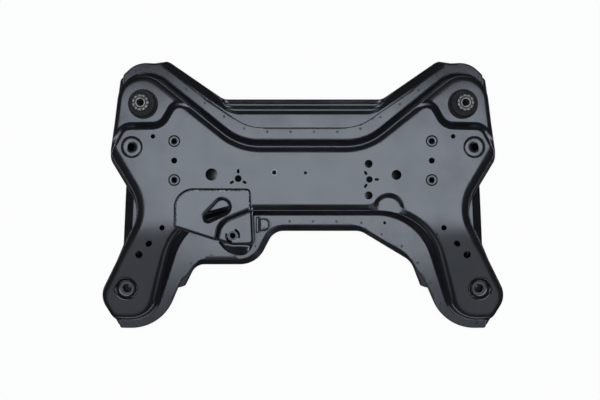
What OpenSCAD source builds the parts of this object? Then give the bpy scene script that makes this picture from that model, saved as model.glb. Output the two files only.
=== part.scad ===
/* [Pressings] */
// Sheet thickness of the two pressings
sheet = 2.8; // [2:0.1:4]
// Draw depth of the lower pressing, from its floor to its flange
lower_draw = 46; // [36:1:60]
// Draw depth of the upper pressing, from the flange face to the panel
upper_draw = 50; // [42:1:65]
// How far the bush pads sit below the panel
pad_drop = 9; // [4:1:14]
// Slope of the front horns at their ends, in degrees
horn_angle = 10; // [4:0.5:11]
// Rise of the floor under the horns, in degrees
floor_angle = 5; // [2:0.5:8]
// Depth of the turned-down edge of the lower pressing
lip_depth = 24; // [16:1:32]

/* [Outline] */
// Crest line along the rear of the panel
rear_crest_y = 118; // [105:1:130]
// Crest line along the front of the panel
front_crest_y = -38; // [-50:1:-30]
// Half width of the panel where the rear crest turns into the arm
arm_root_x = 156; // [140:1:170]
// Half width of the panel where the front crest turns into the horn
horn_root_x = 299; // [285:1:315]
// Half width of the waist, at the sharp corner of its crest line
waist_x = 392; // [382:1:402]
// Rear edge of the lower pressing between the arms
sill_y = 243; // [236:1:250]
// Front edge of the lower pressing between the horns
front_lip_y = -91; // [-100:1:-86]
// Front edge of the lower pressing below the bracket
bay_lip_y = -176; // [-184:1:-172]

/* [Rear bushes] */
// Sideways distance of a bush from the centre line
bush_x = 392; // [385:1:400]
// Fore and aft place of the bushes
bush_y = 223; // [215:1:230]
// Outer radius of the bush housing
housing_r = 36; // [33:0.5:38]
// Wall of the bush housing
housing_wall = 3; // [2:0.25:4]
// Height of the housing above the bush pad
housing_rise = 6; // [3:1:10]
// Wall of the pressed-in outer sleeve
outer_sleeve_wall = 2; // [1.5:0.25:3]
// Radius of the bolt bore of a bush
bush_bore_r = 8.5; // [7:0.5:10]
// Radius of the serrated end of the inner sleeve
sleeve_end_r = 19.5; // [17:0.5:22]
// Height of the inner sleeve above the bush housing
sleeve_rise = 26; // [20:1:32]

/* [Mounting points] */
// Sideways distance of the arm spacers
boss_x = 418; // [412:1:422]
// Fore and aft place of the arm spacers
boss_y = 117; // [112:1:122]
// Radius of the ringed head of an arm spacer
boss_head_r = 26.5; // [24:0.5:28]
// Radius of the bore of an arm spacer
boss_bore_r = 9; // [7:0.5:11]
// Sideways distance of the horn mounts
horn_x = 438; // [432:1:444]
// Fore and aft place of the horn mounts
horn_y = -232; // [-238:1:-226]
// Radius of the dish at the top of a horn mount
dish_r = 28; // [25:0.5:30]
// Depth of the dish seat below the horn
dish_depth = 11; // [8:1:14]
// Radius of the bore of a horn spacer
horn_bore_r = 10; // [8:0.5:12]
// Sideways distance of the rack nuts
rack_x = 314; // [308:1:320]
// Fore and aft middle of the rack nuts
rack_y = 84; // [78:1:90]
// Fore and aft spacing of the rack nuts
rack_pitch = 95; // [88:1:100]
// Radius of the round flange of a rack nut
rack_flange_r = 14; // [12:0.5:16]
// Core radius of the rack nut thread
rack_thread_r = 5; // [4:0.25:6]

/* [Bracket] */
// Sheet thickness of the bracket
bracket_sheet = 2.5; // [2:0.1:3.5]
// Depth of the pocket in the bracket
pocket_drop = 20; // [14:1:26]
// Core radius of the bracket nut thread
bracket_thread_r = 6; // [5:0.25:7]

/* [Hidden] */

$fn = 48;
paint = [0.09, 0.095, 0.105];
inner_paint = [0.06, 0.065, 0.07];
rubber_black = [0.05, 0.05, 0.05];
bare_steel = [0.72, 0.72, 0.70];

// Levels above the floor that the part rests on
flange_z = lower_draw;
panel_z = flange_z + upper_draw;
pad_z = panel_z - pad_drop;
housing_top = pad_z + housing_rise;
sleeve_top = housing_top + sleeve_rise;

// Clearances
lap = 0.3;
weld_gap = 0.3;
press_gap = 0.05;
cut = 1;

// The horn bends down in equal parts from this line on
horn_bend_y = -60;
horn_bend_pitch = 45;
bend_count = 3;
reach = 1200;
bend_lap = 1;
bend_trim = 0.012;
bend_step = 0.02;

// Vectors and outlines
function flat(c) = [c[0], c[1]];
function unit(v) = v / norm(v);
function out_of(v) = [v[1], -v[0]];
function previous(c, k) = c[(k - 1 + len(c)) % len(c)];
function next(c, k) = c[(k + 1) % len(c)];
function way_in(c, k) = unit(flat(c[k]) - flat(previous(c, k)));
function way_out(c, k) = unit(flat(next(c, k)) - flat(c[k]));
function turn(c, k) = acos(max(-1, min(1, way_in(c, k) * way_out(c, k))));
function side(c, k) = sign(cross(way_in(c, k), way_out(c, k)));

// Corners are [x, y, radius], counter-clockwise
function mirrored(c) = [for (k = [len(c) - 1:-1:0]) [-c[k][0], c[k][1], c[k][2]]];
function reversed(c) = [for (k = [len(c) - 1:-1:0]) c[k]];
function corner_steps(c, degrees) = [for (k = [0:len(c) - 1]) max(2, ceil(turn(c, k) / degrees))];

// One corner moved so that each of its two edges shifts outwards by its own run
least_r = 3;
least_bend = 0.06;
function moved_corner(c, runs, k) =
    let (a = way_in(c, k), b = way_out(c, k))
    let (run_a = previous(runs, k), run_b = runs[k])
    let (pa = flat(c[k]) + run_a * out_of(a), pb = flat(c[k]) + run_b * out_of(b))
    let (bend = cross(a, b), along = abs(bend) < least_bend ? 0 : cross(pb - pa, b) / bend)
    let (r = max(least_r, c[k][2] + side(c, k) * (run_a + run_b) / 2))
    [each (pa + along * a), r];
function moved(c, runs) = [for (k = [0:len(c) - 1]) moved_corner(c, runs, k)];

// Points of an outline: an arc at each corner and a few points along each straight
function corner_arc(c, k, steps) =
    let (r = c[k][2], t = turn(c, k), s = side(c, k), a = way_in(c, k))
    let (first = flat(c[k]) - a * r * tan(t / 2))
    let (middle = first - s * r * out_of(a))
    let (start = atan2(first[1] - middle[1], first[0] - middle[0]))
    [for (i = [0:steps]) middle + r * [cos(start + s * t * i / steps), sin(start + s * t * i / steps)]];
function straight(a, b, count) = [for (i = [1:1:count]) a + (b - a) * i / (count + 1)];
function outline(c, steps, counts) =
    let (arcs = [for (k = [0:len(c) - 1]) corner_arc(c, k, steps[k])])
    [for (k = [0:len(c) - 1])
        each concat(arcs[k], straight(arcs[k][steps[k]], next(arcs, k)[0], counts[k]))];
function none(c) = [for (k = c) 0];
function between(a, b, f) = [for (i = [0:len(a) - 1]) a[i] + (b[i] - a[i]) * f];
function normals(ring) = [for (i = [0:len(ring) - 1]) out_of(unit(next(ring, i) - previous(ring, i)))];

// Crest line of the upper pressing, right half, from the front round the horn and the arm to the rear
crest_half = [
    [horn_root_x, front_crest_y, 155],
    [horn_x - 54, horn_y - 72, 66],
    [horn_x + 25, horn_y - 72, 30],
    [horn_x + 63, horn_y - 14, 30],
    [waist_x, -30, 100],
    [boss_x + 52, boss_y - 17, 24],
    [bush_x + 48, bush_y + 124, 61],
    [arm_root_x, rear_crest_y, 146]
];
crest_corners = concat(crest_half, mirrored(crest_half));
crest_steps = corner_steps(crest_corners, 13);

// Width of a feature along each edge of the crest line, then along the rear and front straights
function all_runs(half, rear, front) = concat(half, [rear], reversed(half), [front]);
foot_runs = all_runs([16, 11, 6, 8, 16, 12, 18.5], 23.5, 13.5);
panel_runs = -all_runs([15, 15, 14, 20, 22, 10, 15], 16, 17);
mouth_runs = all_runs([17, -8, -14, -14, -16, -14, 15], 17, 10);
floor_runs = all_runs([-14, -22, -20, -20, -24, -18, -14], -16, -18);

// Points along the straights: more where the bush pads step down
crest_counts = all_runs([3, 0, 0, 4, 2, 8, 12], 1, 1);
function crest_outline(runs) = outline(moved(crest_corners, runs), crest_steps, crest_counts);
crest = outline(crest_corners, crest_steps, crest_counts);
crest_out = normals(crest);
foot = crest_outline(foot_runs);
panel = crest_outline(panel_runs);
mouth = crest_outline(mouth_runs);
floor_ring = crest_outline(floor_runs);

// Reach of the flanges beside the rear arms, and the small notch at the root of each horn
arm_splay = 99;
arm_rise = 132;
notch_far = 141;
notch_near = 127;
horn_root_w = 132;
horn_foot_w = 96;

// Outer edge of the upper flange
upper_side = [
    [horn_x - 82, horn_y - 102, 113],
    [horn_x + 22, horn_y - 101, 7],
    [horn_x + 19, horn_y - 70, 3],
    [horn_x + 1, horn_y - 23, 20],
    [waist_x - 21, -30, 60],
    [boss_x + 16, boss_y + 65, 40],
    [bush_x + 56, bush_y + 33, 10],
    [bush_x + 59, bush_y + 78, 10],
    [bush_x + 25, bush_y + 110, 64],
    [bush_x - 35, bush_y + 107, 10],
    [arm_root_x + arm_splay, rear_crest_y + arm_rise, 100],
    [arm_root_x - 18, rear_crest_y + 52, 120]
];
notch_right = [[horn_x - notch_far, horn_y + 6, 4], [horn_x - notch_near, horn_y + 2, 4]];
upper_front_right = [[arm_root_x - 16, front_lip_y + 14, 50], [arm_root_x + 104, -148, 60]];
upper_front_left = [[-horn_root_x + 41, bay_lip_y + 14, 24], [-125, bay_lip_y + 14, 60],
    [-82, front_lip_y + 14, 45]];
upper_edge_corners = concat(upper_front_right, notch_right, upper_side, mirrored(upper_side),
    mirrored(notch_right), upper_front_left);
upper_edge = outline(upper_edge_corners, corner_steps(upper_edge_corners, 9), none(upper_edge_corners));

// Outer edge of the lower pressing
lower_side = [
    [horn_x - horn_root_w, horn_y - 20, 25],
    [horn_x - 77, horn_y - horn_foot_w, 98],
    [horn_x + 25, horn_y - horn_foot_w, 8],
    [horn_x + 32, horn_y - 74, 10],
    [horn_x + 70, horn_y - 18, 31],
    [waist_x + 63, -130, 25],
    [waist_x + 56, 32, 25],
    [boss_x + 68, boss_y - 11, 23],
    [bush_x + 68, bush_y + 69, 14],
    [bush_x + 25, bush_y + 104, 56],
    [bush_x - 54, bush_y + 115, 10],
    [arm_root_x + 44, sill_y, 31]
];
lower_front_right = [[arm_root_x - 9, front_lip_y, 46], [arm_root_x + 119, -168, 52]];
lower_front_left = [[-horn_root_x + 27, bay_lip_y, 35], [-118, bay_lip_y, 68], [-74, front_lip_y, 41]];
lower_corners = concat(lower_front_right, lower_side, mirrored(lower_side), lower_front_left);
lower_steps = corner_steps(lower_corners, 16);
side_lip_runs = [9, 6, 6, 6, 6, 10, 6, 6, 6, 6, 22];
lip_runs = concat([11, 11], side_lip_runs, [44], reversed(side_lip_runs), [11, 11, 11, 11]);
function lip_ring(share, inset = 0) =
    outline(moved(lower_corners, [for (r = lip_runs) -r * share - inset]), lower_steps, none(lower_corners));

// Bush pads: the panel steps down along the last five corners
pad_side_x = boss_x + 48;
pad_far = 80;
pad_back = 200;
pad_width = 119;
pad_margin = 31;
pad_corners = [
    [pad_side_x + pad_far, boss_y + 15, 8],
    [pad_side_x + pad_far, bush_y + pad_back, 8],
    [bush_x - pad_width, bush_y + pad_back, 8],
    [bush_x - pad_width, bush_y - 11, 8],
    [bush_x - 63, bush_y, 22],
    [bush_x - 43, bush_y - 58, 45],
    [bush_x + 57, bush_y - 56, 20],
    [pad_side_x, boss_y + 15, 8]
];
pad_steps = corner_steps(pad_corners, 12);
step_run = 15;
step_lap = 4;
function pad_ring(run) =
    outline(moved(pad_corners, [for (c = pad_corners) -run]), pad_steps, none(pad_corners));
pad_edge = pad_ring(0);

// Depth of a point inside the pad outline, below zero outside it
function to_segment(p, a, b) =
    let (f = max(0, min(1, (p - a) * (b - a) / ((b - a) * (b - a)))))
    norm(p - a - f * (b - a));
function crosses(p, a, b) =
    (a[1] > p[1]) != (b[1] > p[1]) && p[0] < a[0] + (p[1] - a[1]) * (b[0] - a[0]) / (b[1] - a[1]);
function pad_depth(p) =
    let (n = len(pad_edge))
    let (gap = min([for (i = [0:n - 1]) to_segment(p, pad_edge[i], pad_edge[(i + 1) % n])]))
    let (hits = [for (i = [0:n - 1]) if (crosses(p, pad_edge[i], pad_edge[(i + 1) % n])) 1])
    len(hits) % 2 == 1 ? gap : -gap;
// Share of the pad's drop against the distance across its step
step_profile = [[0, 0], [0.25 * step_run, 0.12], [0.75 * step_run, 0.88], [step_run, 1]];
function pad_share(p) =
    p[1] < boss_y || abs(p[0]) < bush_x - pad_width - pad_margin ? 0 :
    lookup(pad_depth([abs(p[0]), p[1]]), step_profile);

// Height of the sheet's upper face
function fall(y, angle, k = 0) =
    k >= bend_count ? 0 :
    let (start = horn_bend_y - k * horn_bend_pitch)
    let (length = k + 1 < bend_count ? horn_bend_pitch : reach)
    max(0, min(start - y, length)) * tan(angle * (k + 1) / bend_count) + fall(y, angle, k + 1);
function top_z(p) = panel_z - pad_drop * pad_share(p) - fall(p[1], horn_angle);
function floor_z(p) = fall(p[1], floor_angle);

// Closed or open sheet between an upper skin and a lower skin, each a list of rings from outside in
module sheet_sweep(upper, under, closed = true) {
    rows = len(upper);
    n = len(upper[0]);
    under_base = rows * n;
    last = closed ? n - 1 : n - 2;
    points = concat([for (r = upper) each r], [for (r = under) each r]);
    function quad(a, b, c, d) = [[a, b, c], [a, c, d]];
    function at(j, i) = j * n + i % n;
    function below(j, i) = under_base + j * n + i % n;
    skins = [for (j = [0:rows - 2]) for (i = [0:last]) each concat(
        quad(at(j, i), at(j + 1, i), at(j + 1, i + 1), at(j, i + 1)),
        quad(below(j, i), below(j, i + 1), below(j + 1, i + 1), below(j + 1, i)))];
    edges = [for (i = [0:last]) each concat(
        quad(at(0, i), at(0, i + 1), below(0, i + 1), below(0, i)),
        quad(at(rows - 1, i), below(rows - 1, i), below(rows - 1, i + 1), at(rows - 1, i + 1)))];
    ends = closed ? [] : [for (j = [0:rows - 2]) each concat(
        quad(at(j + 1, 0), at(j, 0), below(j, 0), below(j + 1, 0)),
        quad(at(j, n - 1), at(j + 1, n - 1), below(j + 1, n - 1), below(j, n - 1)))];
    polyhedron(points, concat(skins, edges, ends));
}

// Flat plate that bends along the horns: its reference face is bent, its thickness lies on one side
// Each part past a bend is trimmed a little more than the one before, and sits a little inside it
module bent_plate(rings, base_z, angle, thickness_from, down) {
    sense = down ? 1 : -1;
    for (k = [-1:bend_count - 1]) {
        start = k < 0 ? reach / 2 : horn_bend_y - k * horn_bend_pitch;
        length = bend_lap + (k < 0 ? start - horn_bend_y : k + 1 < bend_count ? horn_bend_pitch : reach / 2);
        tilt = angle * (k + 1) / bend_count;
        drop = k < 0 ? 0 : fall(start, angle);
        stretch = 1 / cos(tilt);
        translate([0, start, base_z - sense * (drop + (k + 1) * bend_step)])
            rotate([sense * tilt, 0, 0])
                translate([0, 0, thickness_from])
                    linear_extrude(sheet)
                        intersection() {
                            polygon([for (p = rings[k + 1]) [p[0], (p[1] - start) * stretch]]);
                            translate([-reach / 2, -length * stretch])
                                square([reach, length * stretch]);
                        }
    }
}

// Upper pressing
// Rows are [share of the run, share of the height, slope in degrees, lift], from the flange to the panel
upper_rows = [
    [1.25, 0, 0, lap], [1, 0.005, 8, lap], [0.8, 0.05, 35, 0], [0.62, 0.15, 70, 0], [0.21, 0.72, 70, 0],
    [0, 0.85, 50, 0], [-0.35, 0.945, 30, 0], [-0.7, 0.988, 12, 0], [-1, 1, 0, -lap], [-1.3, 1, 0, -lap]
];
foot_plate = 1.12;
panel_plate = -1.15;
function crest_ring(share) = share > 0 ? between(crest, foot, share) : between(crest, panel, -share);
panel_plates = [for (k = [0:bend_count]) crest_ring(panel_plate - k * bend_trim)];
function upper_skin(row) =
    let (ring = crest_ring(row[0]), base = flange_z + sheet)
    [for (p = ring) [p[0], p[1], base + row[1] * (top_z(p) - base) + row[3]]];
function thinned(skin, out, slope) =
    [for (i = [0:len(skin) - 1]) skin[i] - sheet * [each (sin(slope) * out[i]), cos(slope)]];

module upper_wall() {
    skins = [for (row = upper_rows) upper_skin(row)];
    sheet_sweep(skins, [for (j = [0:len(skins) - 1]) thinned(skins[j], crest_out, upper_rows[j][2])]);
}

module upper_flange() {
    translate([0, 0, flange_z])
        linear_extrude(sheet)
            difference() {
                polygon(upper_edge);
                polygon(crest_ring(foot_plate));
            }
}

module both_sides() {
    children();
    mirror([1, 0, 0]) children();
}

module pad_plan(run) {
    both_sides() polygon(pad_ring(run));
}

module upper_panel() {
    difference() {
        bent_plate(panel_plates, panel_z, horn_angle, -sheet, true);
        translate([0, 0, panel_z - 2 * sheet])
            linear_extrude(3 * sheet)
                pad_plan(0.3 * step_lap);
        both_sides()
            translate([horn_x, horn_y, flange_z])
                cylinder(h = upper_draw, r = dish_r - lap);
    }
    translate([0, 0, pad_z - sheet])
        linear_extrude(sheet)
            intersection() {
                polygon(crest_ring(panel_plate));
                pad_plan(step_run - 0.3 * step_lap);
            }
}

// Dished seat at the end of a horn
seat_z = panel_z - fall(horn_y, horn_angle) - dish_depth;
seat_r = dish_r - 9;
seat_hole_r = horn_bore_r + 2;
dish_sides = 24;
// Rows are [radius, share of the way down to the seat, slope in degrees]
dish_rows = [[dish_r + 5, 0, 0], [dish_r - 1, 0, -12], [dish_r - 3.5, 0.25, -40], [seat_r, 1, 0],
    [seat_hole_r, 1, 0]];
function dish_ring(r) =
    [for (i = [0:dish_sides - 1])
        let (a = 360 * i / dish_sides)
        [horn_x + r * cos(a), horn_y + r * sin(a)]];
function dish_skin(row) =
    [for (p = dish_ring(row[0])) let (rim_z = top_z(p) - lap) [each p, rim_z + row[1] * (seat_z - rim_z)]];

module horn_dish() {
    skins = [for (row = dish_rows) dish_skin(row)];
    out = normals(dish_ring(dish_r));
    sheet_sweep(skins, [for (j = [0:len(skins) - 1]) thinned(skins[j], out, dish_rows[j][2])]);
}

// Sloping step between the panel and a bush pad, trimmed to the panel's outline
step_rows = [-step_lap, 0, 0.25 * step_run, 0.75 * step_run, step_run, step_run + step_lap];
step_lifts = [-lap, -lap, 0, 0, -lap, -lap];
function first_point(k) = k == 0 ? 0 : first_point(k - 1) + pad_steps[k - 1] + 1;
step_from = first_point(3) + pad_steps[3];
step_to = first_point(7);
function step_skin(j) =
    let (ring = pad_ring(step_rows[j]), drop = pad_drop * lookup(step_rows[j], step_profile))
    [for (i = [step_from:step_to]) [each ring[i], panel_z - drop + step_lifts[j]]];
step_trim = -1.22;

module pad_step() {
    skins = [for (j = [0:len(step_rows) - 1]) step_skin(j)];
    intersection() {
        sheet_sweep(skins, [for (s = skins) [for (p = s) p - [0, 0, sheet]]], false);
        translate([0, 0, flange_z])
            linear_extrude(2 * upper_draw)
                polygon(crest_ring(step_trim));
    }
}

// Holes through the panel, as [x, y, radius]
twin_holes = [[rack_x, rack_y, 7.3], [boss_x - 52, boss_y + 26, 5.6], [horn_x - 94, horn_y + 152, 6.8],
    [horn_x - 36, horn_y + 86, 9]];
panel_holes = [[-223, 50, 15], [228, 49, 12.2], [160, 76, 9.8], [160, -1, 9.8], [-70, 55, 7.3], [6, 54, 3.7],
    [horn_x - 111, horn_y + 136, 2.4]];
clusters = [[-158, 40, 8.5, 90], [162, 38, 8, 0]];
cluster_slot_r = 18;
horn_slot = [horn_x - 61, horn_y + 113, 17, 13];
horn_slot_turn = -40;
flange_hole_r = 4;
flange_holes = [[-bush_x - 25, bush_y + 88], [bush_x + 6, bush_y + 85], [-horn_x + 119, horn_y + 17],
    [arm_root_x + 49, front_lip_y + 21.5], [horn_x - 3, horn_y - 87]];

module slot_plan(length, width) {
    for (s = [-1, 1])
        translate([s * (length - width) / 2, 0])
            circle(d = width);
    square([length - width, width], center = true);
}

module drill(place) {
    translate([place[0], place[1], flange_z + 2 * sheet])
        cylinder(h = 2 * upper_draw, r = place[2]);
}

module upper_holes() {
    for (h = panel_holes)
        drill(h);
    for (h = flange_holes)
        translate([h[0], h[1], flange_z - cut])
            cylinder(h = 3 * sheet, r = flange_hole_r);
    for (c = clusters) {
        drill(c);
        for (i = [0:2])
            translate([c[0], c[1], flange_z + 2 * sheet])
                rotate(c[3] + 120 * i)
                    translate([cluster_slot_r, 0, 0])
                        linear_extrude(upper_draw)
                            slot_plan(8, 4);
    }
    both_sides() {
        for (h = twin_holes)
            drill(h);
        translate([horn_slot[0], horn_slot[1], flange_z + 2 * sheet])
            rotate(horn_slot_turn)
                linear_extrude(upper_draw)
                    slot_plan(horn_slot[2], horn_slot[3]);
        drill([bush_x, bush_y, housing_r + weld_gap]);
        drill([boss_x, boss_y, boss_tube_r + weld_gap]);
        for (s = [-1, 1])
            drill([rack_x, rack_y + s * rack_pitch / 2, rack_shank_r + weld_gap]);
    }
}

module upper_pressing() {
    color(paint)
        difference() {
            union() {
                upper_flange();
                upper_wall();
                upper_panel();
                both_sides() pad_step();
                both_sides() horn_dish();
            }
            upper_holes();
        }
}

// Lower pressing
// The edge turns down in ledges, from the root of the lip to its outer edge
ledge_count = 2;
ledge_drop = lip_depth / (ledge_count + 1);
function ledge_share(k) = 1 - k / ledge_count;

module lower_lip() {
    for (k = [0:ledge_count]) {
        z = flange_z - k * ledge_drop;
        translate([0, 0, z - ledge_drop])
            linear_extrude(ledge_drop)
                difference() {
                    polygon(lip_ring(ledge_share(k)));
                    polygon(lip_ring(ledge_share(k), sheet));
                }
        if (k > 0)
            translate([0, 0, z - sheet])
                linear_extrude(sheet)
                    difference() {
                        polygon(lip_ring(ledge_share(k)));
                        polygon(lip_ring(ledge_share(k - 1), sheet));
                    }
    }
}

// Rows are [share from the mouth to the floor, share of the height, slope in degrees, lift]
belly_rows = [[-0.2, 1, 0, -lap], [0, 0.99, -10, -lap], [0.14, 0.87, -45, 0], [0.78, 0.12, -50, 0],
    [1, 0, -8, lap], [1.2, 0, 0, lap]];
mouth_plate = between(mouth, floor_ring, -0.1);
floor_plates = [for (k = [0:bend_count]) between(mouth, floor_ring, 1.1 + k * bend_trim)];
function belly_skin(row) =
    [for (p = between(mouth, floor_ring, row[0]))
        let (low = floor_z(p) + sheet)
        [each p, low + row[1] * (flange_z - low) + row[3]]];

module lower_belly() {
    skins = [for (row = belly_rows) belly_skin(row)];
    sheet_sweep(skins, [for (j = [0:len(skins) - 1]) thinned(skins[j], crest_out, belly_rows[j][2])]);
}

module lower_flange() {
    translate([0, 0, flange_z - sheet])
        linear_extrude(sheet)
            difference() {
                polygon(lip_ring(1));
                polygon(mouth_plate);
            }
}

// Holes through the floor, as [x, y, radius]
floor_holes = [[0, 40, 34], [-170, 40, 30], [170, 40, 30], [-85, -5, 6], [85, -5, 6]];
module lower_holes() {
    for (h = floor_holes)
        translate([h[0], h[1], -cut])
            cylinder(h = lower_draw / 2, r = h[2]);
    both_sides() {
        translate([bush_x, bush_y, -cut])
            cylinder(h = lower_draw / 2, r = housing_r + weld_gap);
        translate([boss_x, boss_y, -cut])
            cylinder(h = lower_draw / 2, r = boss_tube_r + weld_gap);
        translate([horn_x, horn_y, -cut])
            cylinder(h = lower_draw, r = horn_tube_r + weld_gap);
    }
}

module lower_pressing() {
    color(inner_paint)
        difference() {
            union() {
                lower_flange();
                lower_lip();
                lower_belly();
                bent_plate(floor_plates, 0, floor_angle, 0, false);
            }
            lower_holes();
        }
}

// Rear bushes
outer_sleeve_r = housing_r - housing_wall - press_gap;
rubber_r = outer_sleeve_r - outer_sleeve_wall;
core_r = sleeve_end_r - 4;
rubber_foot = 8;
rubber_crown = 15;
serrations = 24;
serration_depth = 1.2;

module ring(outer, inner, low, high) {
    translate([0, 0, low])
        difference() {
            cylinder(h = high - low, r = outer);
            translate([0, 0, -cut])
                cylinder(h = high - low + 2 * cut, r = inner);
        }
}

module at_bush(s) {
    translate([s * bush_x, bush_y, 0]) children();
}

module bush_housing(s) {
    color(paint)
        at_bush(s) ring(housing_r, housing_r - housing_wall, 0, housing_top);
}

module bush_outer_sleeve(s) {
    color(inner_paint)
        at_bush(s) ring(outer_sleeve_r, rubber_r, 3, housing_top - 1);
}

module bush_rubber(s) {
    r = rubber_r - press_gap;
    core = core_r + press_gap;
    color(rubber_black)
        at_bush(s)
            rotate_extrude()
                polygon([[core, rubber_foot], [core + 5, rubber_foot], [core + 8, rubber_foot + 10],
                    [r - 4, rubber_foot + 10], [r, rubber_foot], [r, housing_top - 3],
                    [r - 2, housing_top], [r - 8, housing_top + 2], [core + 4, housing_top + rubber_crown],
                    [core, housing_top + rubber_crown]]);
}

module bush_inner_sleeve(s) {
    head = sleeve_rise - rubber_crown - 2;
    color(bare_steel)
        at_bush(s)
            difference() {
                union() {
                    cylinder(h = sleeve_top - head, r = core_r);
                    translate([0, 0, sleeve_top - head])
                        cylinder(h = head, r = sleeve_end_r);
                }
                translate([0, 0, -cut])
                    cylinder(h = sleeve_top + 2 * cut, r = bush_bore_r);
                for (i = [0:serrations - 1])
                    rotate(360 * i / serrations)
                        translate([core_r - 1, -0.7, sleeve_top - serration_depth])
                            cube([sleeve_end_r, 1.4, 2 * serration_depth]);
            }
}

// Spacers
boss_tube_r = 15;
boss_head = 4;
boss_rim = 5;
module arm_spacer(s) {
    color(paint)
        translate([s * boss_x, boss_y, 0])
            rotate_extrude()
                polygon([[boss_bore_r, 0], [boss_tube_r, 0], [boss_tube_r, panel_z],
                    [boss_head_r, panel_z], [boss_head_r, panel_z + 0.5 * boss_head],
                    [boss_head_r - 0.3 * boss_rim, panel_z + boss_head],
                    [boss_head_r - 0.7 * boss_rim, panel_z + boss_head],
                    [boss_head_r - boss_rim, panel_z + 0.4 * boss_head],
                    [boss_bore_r + 2, panel_z + 0.4 * boss_head], [boss_bore_r, panel_z]]);
}

horn_tube_r = 17;
module horn_spacer(s) {
    color(inner_paint)
        translate([s * horn_x, horn_y, 0])
            ring(horn_tube_r, horn_bore_r, fall(horn_y, floor_angle) - 3, seat_z - sheet);
}

// Steering rack nuts, flanged and welded into the panel
rack_shank_r = 9;
rack_flange = 3;
rack_shank = 20;
module rack_nut(s, t) {
    color(paint)
        translate([s * rack_x, rack_y + t * rack_pitch / 2, panel_z])
            difference() {
                union() {
                    cylinder(h = rack_flange, r1 = rack_flange_r, r2 = rack_flange_r - 1.5);
                    translate([0, 0, -rack_shank])
                        cylinder(h = rack_shank + 1, r = rack_shank_r);
                }
                translate([0, 0, -rack_shank - cut])
                    cylinder(h = rack_shank + rack_flange + 2 * cut, r = rack_thread_r);
            }
}

// Bracket at the front left
bracket_z = panel_z + weld_gap + bracket_sheet;
bracket_corners = [[-315, 17, 48], [-315, -79, 8], [-173, -124, 24], [-121, -123, 12], [-127, 16, 12]];
pocket_corners = [[-215, -150, 5], [-90, -150, 5], [-90, -38, 5], [-132, -41, 10], [-199, -63, 26]];
pocket_run = 9;
teardrop = [[-200, -27, 23], [-237, -54, 13.5]];
bracket_edge = outline(bracket_corners, corner_steps(bracket_corners, 9), none(bracket_corners));
pocket_steps = corner_steps(pocket_corners, 12);
function pocket_ring(run) =
    outline(moved(pocket_corners, [for (c = pocket_corners) -run]), pocket_steps, none(pocket_corners));

pocket_rows = [[-3, 0, -lap], [0, 0, -lap], [0.2 * pocket_run, 0.1, 0], [0.8 * pocket_run, 0.9, 0],
    [pocket_run, 1, -lap], [pocket_run + 3, 1, -lap]];
function pocket_skin(row) =
    [for (p = pocket_ring(row[0])) [each p, bracket_z - pocket_drop * row[1] + row[2]]];

module bracket_step() {
    skins = [for (row = pocket_rows) pocket_skin(row)];
    intersection() {
        sheet_sweep(skins, [for (s = skins) [for (p = s) p - [0, 0, bracket_sheet]]]);
        translate([0, 0, flange_z])
            linear_extrude(2 * upper_draw)
                polygon(bracket_edge);
    }
}

module mount_bracket() {
    color(paint) {
        translate([0, 0, bracket_z - bracket_sheet])
            linear_extrude(bracket_sheet)
                difference() {
                    polygon(bracket_edge);
                    polygon(pocket_ring(0));
                    hull() {
                        for (t = teardrop)
                            translate([t[0], t[1]])
                                circle(t[2]);
                    }
                }
        bracket_step();
        difference() {
            translate([0, 0, bracket_z - pocket_drop - bracket_sheet])
                linear_extrude(bracket_sheet)
                    intersection() {
                        polygon(bracket_edge);
                        polygon(pocket_ring(pocket_run));
                    }
            translate([bracket_nut_x, bracket_nut_y, flange_z])
                cylinder(h = upper_draw, r = bracket_thread_r + 1);
        }
    }
}

bracket_nut_x = -173;
bracket_nut_y = -100;
bracket_nut_r = 11;
bracket_nut_h = 5;
module bracket_nut() {
    color(paint)
        translate([bracket_nut_x, bracket_nut_y, bracket_z - pocket_drop])
            ring(bracket_nut_r, bracket_thread_r, 0, bracket_nut_h);
}

// Tab beside the bracket: an upright foot on the flange and a D-shaped ear
tab_x = -116;
tab_y = -74;
tab_r = 16;
tab_z = panel_z - 14;
module clip_tab() {
    color(paint) {
        translate([tab_x, tab_y - tab_r, flange_z + sheet])
            cube([bracket_sheet, 2 * tab_r, tab_z - flange_z - sheet]);
        translate([tab_x, tab_y, tab_z - bracket_sheet])
            linear_extrude(bracket_sheet) {
                translate([tab_r, 0])
                    circle(tab_r);
                translate([0, -tab_r])
                    square([tab_r, 2 * tab_r]);
            }
    }
}

upper_pressing();
lower_pressing();
bush_housing(-1);  // left_bush_housing
bush_outer_sleeve(-1);  // left_bush_outer_sleeve
bush_rubber(-1);  // left_bush_rubber
bush_inner_sleeve(-1);  // left_bush_inner_sleeve
bush_housing(1);  // right_bush_housing
bush_outer_sleeve(1);  // right_bush_outer_sleeve
bush_rubber(1);  // right_bush_rubber
bush_inner_sleeve(1);  // right_bush_inner_sleeve
arm_spacer(-1);  // left_arm_spacer
arm_spacer(1);  // right_arm_spacer
horn_spacer(-1);  // left_horn_spacer
horn_spacer(1);  // right_horn_spacer
rack_nut(-1, 1);  // left_rear_rack_nut
rack_nut(-1, -1);  // left_front_rack_nut
rack_nut(1, 1);  // right_rear_rack_nut
rack_nut(1, -1);  // right_front_rack_nut
mount_bracket();
bracket_nut();
clip_tab();
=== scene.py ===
"""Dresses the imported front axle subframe: painted pressings, rubber bushes, fittings, welds and a plain studio.

Sizes are in millimetres in the row frame and become metres when a mesh is made. The places of the mounting points
come from the CAD nodes, and the pressed outlines are rounded corner lists that share those places.
"""

from __future__ import annotations

import logging
import math
from dataclasses import dataclass
from enum import Enum
from typing import Callable, Sequence

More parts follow.
